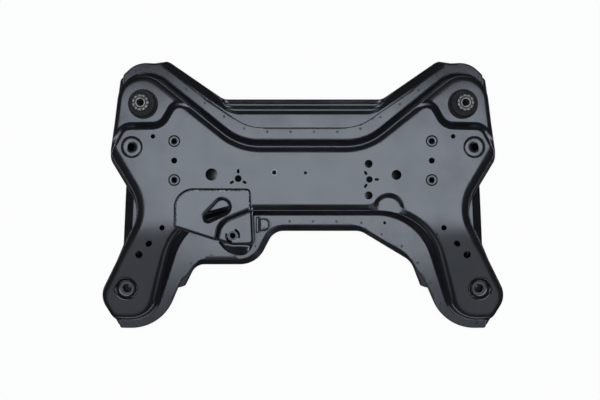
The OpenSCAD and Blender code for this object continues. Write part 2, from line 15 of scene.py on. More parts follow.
import bpy
import numpy as np
from bpy.types import ID, Material, Mesh, Modifier, Node, NodeSocket, NodeTree, Object
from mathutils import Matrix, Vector
from mathutils.geometry import delaunay_2d_cdt

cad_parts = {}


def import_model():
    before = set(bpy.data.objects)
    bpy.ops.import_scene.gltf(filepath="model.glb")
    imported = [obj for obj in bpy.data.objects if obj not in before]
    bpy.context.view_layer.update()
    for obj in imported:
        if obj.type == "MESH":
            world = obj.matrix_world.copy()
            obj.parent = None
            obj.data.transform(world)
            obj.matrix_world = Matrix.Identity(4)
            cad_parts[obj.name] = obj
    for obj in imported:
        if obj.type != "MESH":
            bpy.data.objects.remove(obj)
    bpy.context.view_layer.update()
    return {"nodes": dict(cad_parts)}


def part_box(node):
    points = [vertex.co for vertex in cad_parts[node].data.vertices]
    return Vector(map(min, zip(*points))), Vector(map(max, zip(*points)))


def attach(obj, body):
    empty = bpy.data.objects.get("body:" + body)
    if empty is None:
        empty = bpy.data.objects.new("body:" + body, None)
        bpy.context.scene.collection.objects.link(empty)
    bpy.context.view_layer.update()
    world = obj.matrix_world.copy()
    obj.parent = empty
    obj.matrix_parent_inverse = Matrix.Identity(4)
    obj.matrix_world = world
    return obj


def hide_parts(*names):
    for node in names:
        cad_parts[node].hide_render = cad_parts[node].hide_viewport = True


log = logging.getLogger("subframe")

MM = 0.001
ROOT_BODY = "root"
SIDES = ("left", "right")
SHARP_ANGLE = math.radians(38)
LEAST = 1e-4  # least length or area that counts in a plan, in millimetres

Array = np.ndarray
Pair = tuple[float, float]
Triple = tuple[float, float, float]
Colour = tuple[float, float, float, float]
Corners = Sequence[Triple]
Heights = Callable[[Array], Array]


def smoothstep(share: Array) -> Array:
    """Ease a share from 0 to 1, flat at both ends.

    Args:
        share: Shares, clipped to the range 0 to 1.

    Returns:
        The eased shares.
    """
    held = np.clip(share, 0.0, 1.0)
    return held * held * (3.0 - 2.0 * held)


def monotone_curve(keys: Sequence[Pair], count: int) -> Array:
    """Sample a smooth curve through key points, level at both ends and without overshoot.

    Args:
        keys: Key points (x, y) with rising or falling x.
        count: Number of samples.

    Returns:
        Rows of (x, y) in the order of the keys.
    """
    x, y = np.array(keys, float).T
    turn = -1.0 if x[0] > x[-1] else 1.0
    x = x * turn
    chord = np.diff(y) / np.diff(x)
    slope = np.zeros_like(y)
    product = chord[:-1] * chord[1:]
    slope[1:-1] = np.where(product > 0, 2 * product / np.where(product > 0, chord[:-1] + chord[1:], 1.0), 0.0)
    at = np.interp(np.linspace(0, len(x) - 1, count), np.arange(len(x)), x)
    cell = np.clip(np.searchsorted(x, at, side="right") - 1, 0, len(x) - 2)
    step = x[cell + 1] - x[cell]
    t = (at - x[cell]) / step
    value = (
        (1 + 2 * t) * (1 - t) ** 2 * y[cell]
        + t * (1 - t) ** 2 * step * slope[cell]
        + t**2 * (3 - 2 * t) * y[cell + 1]
        + t**2 * (t - 1) * step * slope[cell + 1]
    )
    return np.stack([at * turn, value], axis=1)


def circle_ring(x: float, y: float, radius: float, sides: int) -> Array:
    """Points of a circle, counter-clockwise.

    Args:
        x: Centre, sideways.
        y: Centre, fore and aft.
        radius: Radius of the circle.
        sides: Number of points.

    Returns:
        Rows of (x, y).
    """
    angle = np.arange(sides) * (2 * math.pi / sides)
    return np.stack([x + radius * np.cos(angle), y + radius * np.sin(angle)], axis=1)


def slot_ring(x: float, y: float, length: float, width: float, turn: float, sides: int = 12) -> Array:
    """Points of a slot with round ends, counter-clockwise.

    Args:
        x: Centre, sideways.
        y: Centre, fore and aft.
        length: Length over the round ends.
        width: Width of the slot.
        turn: Direction of the slot, in degrees.
        sides: Number of steps in each round end.

    Returns:
        Rows of (x, y).
    """
    half = (length - width) / 2
    sweep = np.linspace(-math.pi / 2, math.pi / 2, sides + 1)
    right = np.stack([half + width / 2 * np.cos(sweep), width / 2 * np.sin(sweep)], axis=1)
    ring = np.concatenate([right, -right])
    c, s = math.cos(math.radians(turn)), math.sin(math.radians(turn))
    return ring @ np.array([[c, s], [-s, c]]) + [x, y]


def mirrored_ring(ring: Array) -> Array:
    """Mirror a ring left to right and keep it counter-clockwise."""
    return ring[::-1] * [-1.0, 1.0]


def inside_ring(points: Array, ring: Array) -> Array:
    """Tell which points lie inside a ring.

    Args:
        points: Rows of (x, y).
        ring: Closed ring of (x, y) rows.

    Returns:
        Array of booleans, one for each point.
    """
    a, b = ring, np.roll(ring, -1, axis=0)
    px, py = points[:, :1], points[:, 1:2]
    spans = (a[:, 1] > py) != (b[:, 1] > py)
    rise = np.where(a[:, 1] == b[:, 1], 1.0, b[:, 1] - a[:, 1])
    hits = spans & (px < a[:, 0] + (py - a[:, 1]) * (b[:, 0] - a[:, 0]) / rise)
    return hits.sum(axis=1) % 2 == 1


def ring_distance(points: Array, ring: Array) -> Array:
    """Distance from points to the line of a ring.

    Args:
        points: Rows of (x, y).
        ring: Closed ring of (x, y) rows.

    Returns:
        Array of distances, one for each point.
    """
    a = ring
    along = np.roll(ring, -1, axis=0) - a
    length = np.maximum((along**2).sum(axis=1), 1e-9)
    away = points[:, None, :] - a[None]
    share = np.clip((away * along).sum(axis=2) / length, 0.0, 1.0)
    return np.sqrt(((away - share[..., None] * along) ** 2).sum(axis=2).min(axis=1))


@dataclass(frozen=True)
class Outline:
    """Closed counter-clockwise outline made of rounded corners.

    Attributes:
        corners: Rows of (x, y, radius) in millimetres.
    """

    corners: tuple[Triple, ...]
    least_radius = 3.0

    @classmethod
    def symmetric(cls, side: Corners, right: Corners = (), left: Corners = ()) -> Outline:
        """Outline of a right side, front to rear, its mirror image, and front corners of their own.

        Args:
            side: Corners of the right side.
            right: Corners of the front that come before it.
            left: Corners of the front that come after the mirror image.

        Returns:
            The whole outline.
        """
        mirrored = [(-x, y, r) for x, y, r in reversed(side)]
        return cls((*right, *side, *mirrored, *left))

    def _ways(self) -> tuple[Array, Array, Array]:
        """Directions of the edges at each corner.

        Returns:
            Unit directions into and out of each corner, and the signed turn in degrees.
        """
        at = np.array(self.corners, float)[:, :2]
        into = at - np.roll(at, 1, axis=0)
        into /= np.linalg.norm(into, axis=1, keepdims=True)
        out = np.roll(into, -1, axis=0)
        cross = into[:, 0] * out[:, 1] - into[:, 1] * out[:, 0]
        return into, out, np.degrees(np.arctan2(cross, (into * out).sum(axis=1)))

    def steps(self, degrees: float) -> Array:
        """Number of arc steps at each corner for a given angle per step."""
        return np.maximum(2, np.ceil(np.abs(self._ways()[2]) / degrees)).astype(int)

    def moved(self, runs: Sequence[float]) -> Outline:
        """Outline with each edge shifted outwards by its own run.

        Args:
            runs: One run for each edge; edge k leaves corner k.

        Returns:
            The moved outline, with the same number of corners.
        """
        into, out, turns = self._ways()
        rows = []
        for k, (x, y, radius) in enumerate(self.corners):
            a, b = into[k], out[k]
            run_a, run_b = runs[k - 1], runs[k]
            start = np.array([x + run_a * a[1], y - run_a * a[0]])
            gap = np.array([x + run_b * b[1], y - run_b * b[0]]) - start
            along = (gap[0] * b[1] - gap[1] * b[0]) / (a[0] * b[1] - a[1] * b[0])
            place = start + along * a
            wider = radius + math.copysign(1, turns[k]) * (run_a + run_b) / 2
            rows.append((float(place[0]), float(place[1]), max(self.least_radius, wider)))
        return Outline(tuple(rows))

    def ring(self, steps: Sequence[int], counts: Sequence[int]) -> Array:
        """Points of the outline: an arc at each corner and points along each straight.

        Args:
            steps: Arc steps at each corner.
            counts: Extra points along the straight that leaves each corner.

        Returns:
            Rows of (x, y).
        """
        into, _, turns = self._ways()
        arcs = []
        for k, (x, y, radius) in enumerate(self.corners):
            a, turn = into[k], math.radians(turns[k])
            sense = math.copysign(1, turn)
            first = np.array([x, y]) - a * radius * math.tan(abs(turn) / 2)
            middle = first - sense * radius * np.array([a[1], -a[0]])
            start = math.atan2(first[1] - middle[1], first[0] - middle[0])
            angle = start + turn * np.arange(steps[k] + 1) / steps[k]
            arcs.append(middle + radius * np.stack([np.cos(angle), np.sin(angle)], axis=1))
        parts = []
        for k, (arc, count) in enumerate(zip(arcs, counts)):
            share = np.arange(1, count + 1)[:, None] / (count + 1)
            parts += [arc, arc[-1] + (arcs[(k + 1) % len(arcs)][0] - arc[-1]) * share]
        return np.concatenate(parts)

    def inset_ring(self, run: float, degrees: float, count: int | Sequence[int] = 0) -> Array:
        """Ring a run inside the outline; rings of different runs have equal numbers of points.

        Args:
            run: Distance inwards.
            degrees: Angle of one arc step.
            count: Extra points along every straight, or along each one.

        Returns:
            Rows of (x, y).
        """
        size = len(self.corners)
        counts = [count] * size if isinstance(count, int) else count
        return self.moved([-run] * size).ring(self.steps(degrees), counts)


def both_halves(half: Sequence[float], rear: float, front: float) -> list[float]:
    """Values along each edge of a symmetric outline.

    Args:
        half: Values of the right half, front to rear.
        rear: Value of the rear straight.
        front: Value of the front straight.

    Returns:
        One value for each edge.
    """
    return [*half, rear, *reversed(half), front]


def raised(line: Array, height: float | Array) -> Array:
    """Lift (x, y) rows to a height, or each to its own."""
    return np.column_stack([line, np.broadcast_to(height, len(line))])


def grid_points(ring: Array, spacing: float) -> Array:
    """Regular points over the box of a ring, each second row shifted by half a step.

    Args:
        ring: Ring of (x, y) rows.
        spacing: Distance between points.

    Returns:
        Rows of (x, y).
    """
    low, high = ring.min(axis=0), ring.max(axis=0)
    rows = []
    for j, y in enumerate(np.arange(low[1], high[1], spacing)):
        x = np.arange(low[0] + (j % 2) * spacing / 2, high[0], spacing)
        rows.append(np.stack([x, np.full_like(x, y)], axis=1))
    return np.concatenate(rows)


def clear_of(points: Array, ring: Array, holes: Sequence[Array], gap: float) -> Array:
    """Points inside a ring, away from its line and from holes.

    Args:
        points: Rows of (x, y).
        ring: Ring that they lie in.
        holes: Rings that they lie outside of.
        gap: Least distance from any of these lines.

    Returns:
        The points that stay.
    """
    points = points[inside_ring(points, ring)]
    points = points[ring_distance(points, ring) > gap]
    for hole in holes:
        reach = np.abs(hole - hole.mean(axis=0)).max() * 1.5 + gap
        near = np.linalg.norm(points - hole.mean(axis=0), axis=1) < reach
        blocked = np.zeros(len(points), bool)
        if near.any():
            blocked[near] = inside_ring(points[near], hole) | (ring_distance(points[near], hole) < gap)
        points = points[~blocked]
    return points


def node_axis(node: str) -> Pair:
    """Upright axis through the middle of a CAD node, in millimetres."""
    low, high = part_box(node)
    return (low.x + high.x) / 2 / MM, (low.y + high.y) / 2 / MM


def node_levels(node: str) -> Pair:
    """Lowest and highest level of a CAD node, in millimetres."""
    low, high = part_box(node)
    return low.z / MM, high.z / MM


def node_radius(node: str) -> float:
    """Half the width of a CAD node, in millimetres."""
    low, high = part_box(node)
    return (high.x - low.x) / 2 / MM


class SheetMesh:
    """Gathers the faces of one pressed sheet and makes a closed, painted piece of them."""

    def __init__(self) -> None:
        """Start with no faces."""
        self.points: list[Array] = []
        self.faces: list[tuple[int, ...]] = []
        self.count = 0

    def _add(self, points: Array) -> int:
        """Store points.

        Args:
            points: Rows of (x, y, z).

        Returns:
            Index of the first one.
        """
        first = self.count
        self.points.append(points)
        self.count += len(points)
        return first

    def sweep(self, rows: Sequence[Array], closed: bool = True) -> None:
        """Join rows of (x, y, z) points, from the outside in, by quads.

        Args:
            rows: Rows with equal numbers of points, counter-clockwise where they close.
            closed: Whether each row is a ring.
        """
        n = len(rows[0])
        first = self._add(np.concatenate(rows))
        pairs = [(i, (i + 1) % n) for i in range(n if closed else n - 1)]
        for j in range(len(rows) - 1):
            row = first + j * n
            self.faces += [(row + i, row + k, row + n + k, row + n + i) for i, k in pairs]

    def fill(
        self,
        ring: Array,
        holes: Sequence[Array],
        height: Heights | float,
        loose: Sequence[Array] = (),
        gap: float = 1.0,
    ) -> None:
        """Fill the plan inside a ring and outside its holes with triangles.

        Args:
            ring: Ring of (x, y) rows round the plan.
            holes: Rings inside it that stay open.
            height: Height of each point, or one level for all of them.
            loose: Sets of points inside, which shape the surface.
            gap: Least distance of those points from the rings.
        """
        coords: list[Vector] = []
        edges: list[tuple[int, int]] = []
        for line in (ring, *holes):
            base, n = len(coords), len(line)
            coords += [Vector((float(x), float(y))) for x, y in line]
            edges += [(base + i, base + (i + 1) % n) for i in range(n)]
        if loose:
            coords += [Vector((float(x), float(y))) for x, y in clear_of(np.concatenate(loose), ring, holes, gap)]
        made = delaunay_2d_cdt(coords, edges, [], 0, LEAST)
        flat = np.array([(v.x, v.y) for v in made[0]])
        triangles = np.array([f for f in made[2] if len(f) == 3], int)
        a, b, c = (flat[triangles[:, k]] for k in range(3))
        area = (b[:, 0] - a[:, 0]) * (c[:, 1] - a[:, 1]) - (b[:, 1] - a[:, 1]) * (c[:, 0] - a[:, 0])
        triangles[area < 0] = triangles[area < 0][:, ::-1]
        middles = (a + b + c) / 3
        kept = inside_ring(middles, ring) & (np.abs(area) > LEAST)
        for hole in holes:
            kept &= ~inside_ring(middles, hole)
        first = self._add(raised(flat, height(flat) if callable(height) else height))
        self.faces += [tuple(int(first + i) for i in tri) for tri in triangles[kept]]

    def piece(self, name: str, thickness: float, finish: Material) -> Object:
        """Make the piece: merge the joints and give the sheet its thickness below.

        Args:
            name: Name of the piece.
            thickness: Sheet thickness in millimetres.
            finish: Material of the piece.

        Returns:
            The finished object.
        """
        mesh = bpy.data.meshes.new(name)
        mesh.from_pydata(np.concatenate(self.points) * MM, [], self.faces)
        mesh.materials.append(finish)
        thing = new_piece(name, mesh)
        weld = thing.modifiers.new("joints", "WELD")
        weld.merge_threshold = 0.02 * MM
        wall = thing.modifiers.new("sheet", "SOLIDIFY")
        wall.thickness = thickness * MM
        wall.offset = -1.0
        wall.use_even_offset = False
        settle(thing)
        return thing


def new_piece(name: str, data: ID) -> Object:
    """Put a mesh, a light or a camera in the scene as an object of the given name."""
    thing = bpy.data.objects.new(name, data)
    bpy.context.scene.collection.objects.link(thing)
    return thing


def soften(thing: Object, width: float, degrees: float) -> Modifier:
    """Round an object's sharp edges.

    Args:
        thing: The object.
        width: Width of the rounding in millimetres.
        degrees: Least angle of an edge that is rounded.

    Returns:
        The bevel modifier.
    """
    bevel = thing.modifiers.new("soft_edge", "BEVEL")
    bevel.width, bevel.segments, bevel.limit_method = width * MM, 2, "ANGLE"
    bevel.angle_limit = math.radians(degrees)
    return bevel


def settle(thing: Object) -> None:
    """Turn an object's evaluated shape into its plain mesh, smooth with sharp folds, and drop its modifiers.

    Args:
        thing: Object with modifiers.
    """
    graph = bpy.context.evaluated_depsgraph_get()
    mesh = bpy.data.meshes.new_from_object(thing.evaluated_get(graph), depsgraph=graph)
    mesh.name = thing.name
    thing.modifiers.clear()
    thing.data = mesh
    mesh.shade_smooth()
    mesh.set_sharp_from_angle(angle=SHARP_ANGLE)


def place_piece(thing: Object, slot: str, *nodes: str) -> Object:
    """Tie a finished piece to the frame.

    Args:
        thing: The piece.
        slot: The record's material slot; not used.
        nodes: CAD nodes that the piece stands for.

    Returns:
        The same piece.
    """
    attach(thing, ROOT_BODY)
    if nodes:
        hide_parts(*nodes)
    log.info("%s: %d faces", thing.name, len(thing.data.polygons))
    return thing


class Graph:
    """Adds and links the nodes of one node tree."""

    def __init__(self, tree: NodeTree) -> None:
        """Work on an empty tree.

        Args:
            tree: Shader or geometry node tree.
        """
        self.tree = tree

    def node(self, kind: str, feeds: dict | None = None, **settings: object) -> Node:
        """Add a node.

        Args:
            kind: Blender's name of the node type.
            feeds: Values or sockets for its inputs, by name or place.
            settings: Properties of the node.

        Returns:
            The new node.
        """
        made = self.tree.nodes.new(kind)
        for key, value in settings.items():
            setattr(made, key, value)
        for key, value in (feeds or {}).items():
            self.feed(value, made.inputs[key])
        return made

    def feed(self, value: object, socket: NodeSocket) -> None:
        """Link a socket to another one, or set its plain value.

        Args:
            value: Socket or plain value.
            socket: Socket that takes it.
        """
        if isinstance(value, NodeSocket):
            self.tree.links.new(value, socket)
        else:
            socket.default_value = value

    def math(self, operation: str, a: object, b: object = 0.0) -> NodeSocket:
        """Work out one value from two.

        Args:
            operation: Blender's name of the operation.
            a: First value or socket.
            b: Second value or socket.

        Returns:
            The result's socket.
        """
        return self.node("ShaderNodeMath", {0: a, 1: b}, operation=operation).outputs[0]

    def noise(self, place: object, scale: object, detail: float, roughness: float = 0.5) -> NodeSocket:
        """Add a noise pattern.

        Args:
            place: Socket of the place that it is read at.
            scale: Repeats in a metre.
            detail: Octaves of finer noise.
            roughness: Weight of the finer noise.

        Returns:
            The pattern's value, about 0 to 1.
        """
        feeds = {"Vector": place, "Scale": scale, "Detail": detail, "Roughness": roughness}
        return self.node("ShaderNodeTexNoise", feeds).outputs["Fac"]

    def spread(self, value: object, low: float, high: float, to: Pair) -> NodeSocket:
        """Map a value's range to another one, clamped.

        Args:
            value: The value's socket.
            low: Value that gives the first end.
            high: Value that gives the second end.
            to: The two ends.

        Returns:
            The mapped value's socket.
        """
        feeds = dict(enumerate((value, low, high, *to)))
        return self.node("ShaderNodeMapRange", feeds).outputs[0]

    def mix(self, share: object, first: object, second: object) -> NodeSocket:
        """Mix two colours.

        Args:
            share: Share of the second colour.
            first: Colour or socket.
            second: Colour or socket.

        Returns:
            The mixed colour's socket.
        """
        made = self.node("ShaderNodeMix", data_type="RGBA")
        self.feed(share, made.inputs["Factor"])
        colours = [s for s in made.inputs if s.type == "RGBA"]
        self.feed(first, colours[0])
        self.feed(second, colours[1])
        return next(s for s in made.outputs if s.type == "RGBA")


class Effect(Enum):
    """Effects that several finishes share, each one a shader node group."""

    SURFACE = "sheet_surface"
    DUST = "settled_dust"
    TURNING = "turning_rings"

    def tree(self) -> NodeTree:
        """The effect's node group, built when it is first asked for."""
        return bpy.data.node_groups.get(self.value) or _EFFECT_MAKERS[self]()


def _new_group(effect: Effect, inputs: Sequence[str], outputs: Sequence[str]) -> tuple[Graph, dict, dict]:
    """Start a shader node group with value sockets.

    Args:
        effect: The effect that the group is for.
        inputs: Names of the inputs.
        outputs: Names of the outputs.

    Returns:
        The graph, the inputs' sockets and the outputs' sockets, by name.
    """
    tree = bpy.data.node_groups.new(effect.value, "ShaderNodeTree")
    for name in inputs:
        tree.interface.new_socket(name, in_out="INPUT", socket_type="NodeSocketFloat")
    for name in outputs:
        tree.interface.new_socket(name, in_out="OUTPUT", socket_type="NodeSocketFloat")
    graph = Graph(tree)
    source, target = graph.node("NodeGroupInput"), graph.node("NodeGroupOutput")
    return graph, dict(source.outputs.items()), dict(target.inputs.items())


def make_surface_group() -> NodeTree:
    """Fine peel, handling smudges and the slow waves of a pressed and painted sheet.

    Returns:
        The node group.
    """
    graph, given, result = _new_group(Effect.SURFACE, ("Peel Scale", "Wave Scale"), ("Tone", "Smudge", "Height"))
    place = graph.node("ShaderNodeTexCoord").outputs["Object"]
    peel = graph.noise(place, given["Peel Scale"], 2.0)
    wave = graph.noise(place, given["Wave Scale"], 1.0)
    specks = graph.noise(place, 900.0, 1.0)
    smudge = graph.noise(place, 14.0, 4.0, 0.62)
    graph.feed(graph.spread(graph.noise(place, 5.0, 3.0), 0.3, 0.7, (0.0, 1.0)), result["Tone"])
    graph.feed(graph.spread(smudge, 0.36, 0.7, (0.0, 1.0)), result["Smudge"])
    fine = graph.math("ADD", graph.math("MULTIPLY", peel, 0.06), graph.math("MULTIPLY", specks, 0.02))
    graph.feed(graph.math("ADD", fine, graph.math("MULTIPLY", wave, 3.0)), result["Height"])
    return graph.tree


def make_dust_group() -> NodeTree:
    """Pale dust that settles in patches on faces that look up.

    Returns:
        The node group.
    """
    graph, given, result = _new_group(Effect.DUST, ("Amount",), ("Mask",))
    place = graph.node("ShaderNodeTexCoord").outputs["Object"]
    normal = graph.node("ShaderNodeNewGeometry").outputs["Normal"]
    parts = graph.node("ShaderNodeSeparateXYZ", {0: normal})
    level = graph.spread(parts.outputs["Z"], 0.8, 1.0, (0.0, 1.0))
    patch = graph.spread(graph.noise(place, 9.0, 5.0, 0.65), 0.42, 0.75, (0.15, 1.0))
    grain = graph.spread(graph.noise(place, 420.0, 2.0), 0.45, 0.75, (0.3, 1.0))
    mask = graph.math("MULTIPLY", graph.math("MULTIPLY", patch, grain), level)
    graph.feed(graph.math("MULTIPLY", mask, given["Amount"]), result["Mask"])
    return graph.tree


def make_turning_group() -> NodeTree:
    """Fine rings of a turned face round the axis of either bush, and its bright worn edges.

    Returns:
        The node group.
    """
    sizes = ("Axis X", "Axis Y", "Rings", "Bore R", "Rim R")
    graph, given, result = _new_group(Effect.TURNING, sizes, ("Ring", "Stain", "Edge"))
    place = graph.node("ShaderNodeTexCoord").outputs["Object"]
    parts = graph.node("ShaderNodeSeparateXYZ", {0: place})
    dx = graph.math("SUBTRACT", graph.math("ABSOLUTE", parts.outputs["X"]), given["Axis X"])
    dy = graph.math("SUBTRACT", parts.outputs["Y"], given["Axis Y"])
    squares = [graph.math("MULTIPLY", away, away) for away in (dx, dy)]
    radius = graph.math("SQRT", graph.math("ADD", *squares))
    wave = graph.math("SINE", graph.math("MULTIPLY", radius, given["Rings"]))
    graph.feed(graph.spread(wave, -1.0, 1.0, (0.0, 1.0)), result["Ring"])
    stain = graph.noise(place, 130.0, 4.0, 0.6)
    graph.feed(graph.spread(stain, 0.4, 0.72, (0.0, 1.0)), result["Stain"])
    bore = graph.math("ABSOLUTE", graph.math("SUBTRACT", radius, given["Bore R"]))
    past = graph.math("SUBTRACT", radius, given["Rim R"])
    worn = graph.spread(stain, 0.3, 0.6, (0.2, 1.0))
    rim = graph.math("MULTIPLY", graph.spread(past, -0.0004, 0.0006, (0.0, 1.0)), worn)
    graph.feed(graph.math("MAXIMUM", graph.spread(bore, 0.0012, 0.0019, (1.0, 0.0)), rim), result["Edge"])
    return graph.tree


_EFFECT_MAKERS: dict[Effect, Callable[[], NodeTree]] = {
    Effect.SURFACE: make_surface_group,
    Effect.DUST: make_dust_group,
    Effect.TURNING: make_turning_group,
}


class FinishGraph(Graph):
    """The nodes of one material round its Principled BSDF."""

    def __init__(self, name: str) -> None:
        """Start a material.

        Args:
            name: Name of the material.
        """
        self.material = bpy.data.materials.new(name)
        self.material.use_nodes = True
        super().__init__(self.material.node_tree)
        self.shader = next(n for n in self.tree.nodes if n.type == "BSDF_PRINCIPLED")

    def effect(self, effect: Effect, **values: float) -> dict[str, NodeSocket]:
        """Place a shared effect with its own values.

        Args:
            effect: The effect.
            values: Input values, with underscores for the spaces in their names.

        Returns:
            The effect's outputs by name.
        """
        made = self.node("ShaderNodeGroup", node_tree=effect.tree())
        for key, value in values.items():
            made.inputs[key.replace("_", " ")].default_value = value
        return dict(made.outputs.items())

    def bump(self, height: NodeSocket, depth: float) -> None:
        """Feed a height to the shader's normal.

        Args:
            height: Height in millimetres.
            depth: Strength of the bump, 0 to 1.
        """
        made = self.node("ShaderNodeBump", {"Strength": depth, "Distance": MM, "Height": height})
        self.feed(made.outputs["Normal"], self.shader.inputs["Normal"])

    def set(self, **values: object) -> None:
        """Feed or set sockets of the shader, with underscores for the spaces in their names."""
        for key, value in values.items():
            self.feed(value, self.shader.inputs[key.replace("_", " ")])


@dataclass(frozen=True)
class PaintFinish:
    """Black dipped paint on pressed steel.

    Attributes:
        name: Name of the material.
        colour: Colour of the paint.
        pale: Colour of its paler patches.
        dust: Colour of the dust on it.
        roughness: Roughness of clean paint and of a smudge.
        dust_amount: How much dust lies on it.
    """

    name: str
    colour: Colour = (0.0050, 0.0052, 0.0060, 1.0)
    pale: Colour = (0.0080, 0.0083, 0.0092, 1.0)
    dust: Colour = (0.20, 0.20, 0.20, 1.0)
    roughness: Pair = (0.17, 0.25)
    dust_amount: float = 0.02

    def build(self) -> Material:
        """Make the material.

        Returns:
            The material.
        """
        graph = FinishGraph(self.name)
        surface = graph.effect(Effect.SURFACE, Peel_Scale=260.0, Wave_Scale=7.0)
        dust = graph.effect(Effect.DUST, Amount=self.dust_amount)
        paint = graph.mix(surface["Tone"], self.colour, self.pale)
        graph.set(
            Base_Color=graph.mix(dust["Mask"], paint, self.dust),
            Roughness=graph.spread(surface["Smudge"], 0.0, 1.0, self.roughness),
            IOR=1.54,
        )
        graph.bump(surface["Height"], 0.35)
        return graph.material


@dataclass(frozen=True)
class RubberFinish:
    """Moulded bush rubber, dull and a little dusty.

    Attributes:
        name: Name of the material.
        colour: Colour of the rubber.
        bloom: Colour of its paler bloom.
        dust: Colour of the dust on it.
    """

    name: str
    colour: Colour = (0.010, 0.010, 0.011, 1.0)
    bloom: Colour = (0.024, 0.024, 0.025, 1.0)
    dust: Colour = (0.16, 0.16, 0.155, 1.0)

    def build(self) -> Material:
        """Make the material.

        Returns:
            The material.
        """
        graph = FinishGraph(self.name)
        surface = graph.effect(Effect.SURFACE, Peel_Scale=700.0, Wave_Scale=40.0)
        dust = graph.effect(Effect.DUST, Amount=0.08)
        rubber = graph.mix(surface["Smudge"], self.colour, self.bloom)
        graph.set(
            Base_Color=graph.mix(dust["Mask"], rubber, self.dust),
            Roughness=graph.spread(surface["Tone"], 0.0, 1.0, (0.62, 0.78)),
            Specular_IOR_Level=0.2,
        )
        graph.bump(surface["Height"], 0.5)
        return graph.material


@dataclass(frozen=True)
class SteelFinish:
    """Dark turned steel of the bush sleeves, bare and pale along its worn edges.

    Attributes:
        name: Name of the material.
        axis: Place of the right bush's axis, in metres.
        bore_r: Radius of the pale edge round the bore, in metres.
        rim_r: Radius from which the teeth are pale, in metres.
        dark: Colour of the dark face.
        colour: Colour of clean steel.
        stain: Colour of the stain.
    """

    name: str
    axis: Pair
    bore_r: float = 0.0102
    rim_r: float = 0.0149
    dark: Colour = (0.020, 0.020, 0.021, 1.0)
    colour: Colour = (0.30, 0.29, 0.265, 1.0)
    stain: Colour = (0.15, 0.142, 0.125, 1.0)

    def build(self) -> Material:
        """Make the material.

        Returns:
            The material.
        """
        graph = FinishGraph(self.name)
        sizes = {"Axis_X": self.axis[0], "Axis_Y": self.axis[1], "Bore_R": self.bore_r, "Rim_R": self.rim_r}
        turning = graph.effect(Effect.TURNING, Rings=9000.0, **sizes)
        pale = graph.mix(turning["Stain"], self.colour, self.stain)
        graph.set(
            Base_Color=graph.mix(turning["Edge"], self.dark, pale),
            Roughness=graph.spread(turning["Stain"], 0.0, 1.0, (0.42, 0.58)),
            Metallic=turning["Edge"],
        )
        graph.bump(turning["Ring"], 0.03)
        return graph.material


@dataclass(frozen=True)
class WeldFinish:
    """Painted weld bead: duller paint with pale spots that are painted glints.

    Attributes:
        name: Name of the material.
        colour: Colour of the painted bead.
        painted_glint: Colour of its pale spots, painted glints.
    """

    name: str
    colour: Colour = (0.020, 0.0205, 0.0215, 1.0)
    painted_glint: Colour = (0.62, 0.61, 0.59, 1.0)

    def build(self) -> Material:
        """Make the material.

        Returns:
            The material.
        """
        graph = FinishGraph(self.name)
        surface = graph.effect(Effect.SURFACE, Peel_Scale=520.0, Wave_Scale=120.0)
        graph.set(
            # painted highlight: the smudge pattern mixes in pale spots that stand in for glints on the bead
            Base_Color=graph.mix(surface["Smudge"], self.colour, self.painted_glint),
            Roughness=graph.spread(surface["Smudge"], 0.0, 1.0, (0.32, 0.55)),
            IOR=1.54,
        )
        graph.bump(surface["Height"], 0.6)
        return graph.material


@dataclass(frozen=True)
class MountPlaces:
    """Places and levels that the CAD nodes give, for the right-hand side, in millimetres.

    Attributes:
        bush: Axis of the rear bush.
        boss: Axis of the arm spacer.
        horn: Axis of the horn spacer.
        rack: Axes of the rear and the front rack nut.
        housing_r: Outer radius of the bush housing.
        flange_z: Joint of the two pressings.
        panel_z: Top of the panel.
    """

    bush: Pair
    boss: Pair
    horn: Pair
    rack: tuple[Pair, Pair]
    housing_r: float
    flange_z: float
    panel_z: float

    @classmethod
    def from_frame(cls) -> MountPlaces:
        """Read the places from the loaded frame.

        Returns:
            The places.
        """
        flange_z, panel_z = node_levels("upper_pressing")
        return cls(
            bush=node_axis("right_bush_housing"),
            boss=node_axis("right_arm_spacer"),
            horn=node_axis("right_horn_spacer"),
            rack=(node_axis("right_rear_rack_nut"), node_axis("right_front_rack_nut")),
            housing_r=node_radius("right_bush_housing"),
            flange_z=flange_z,
            panel_z=panel_z,
        )


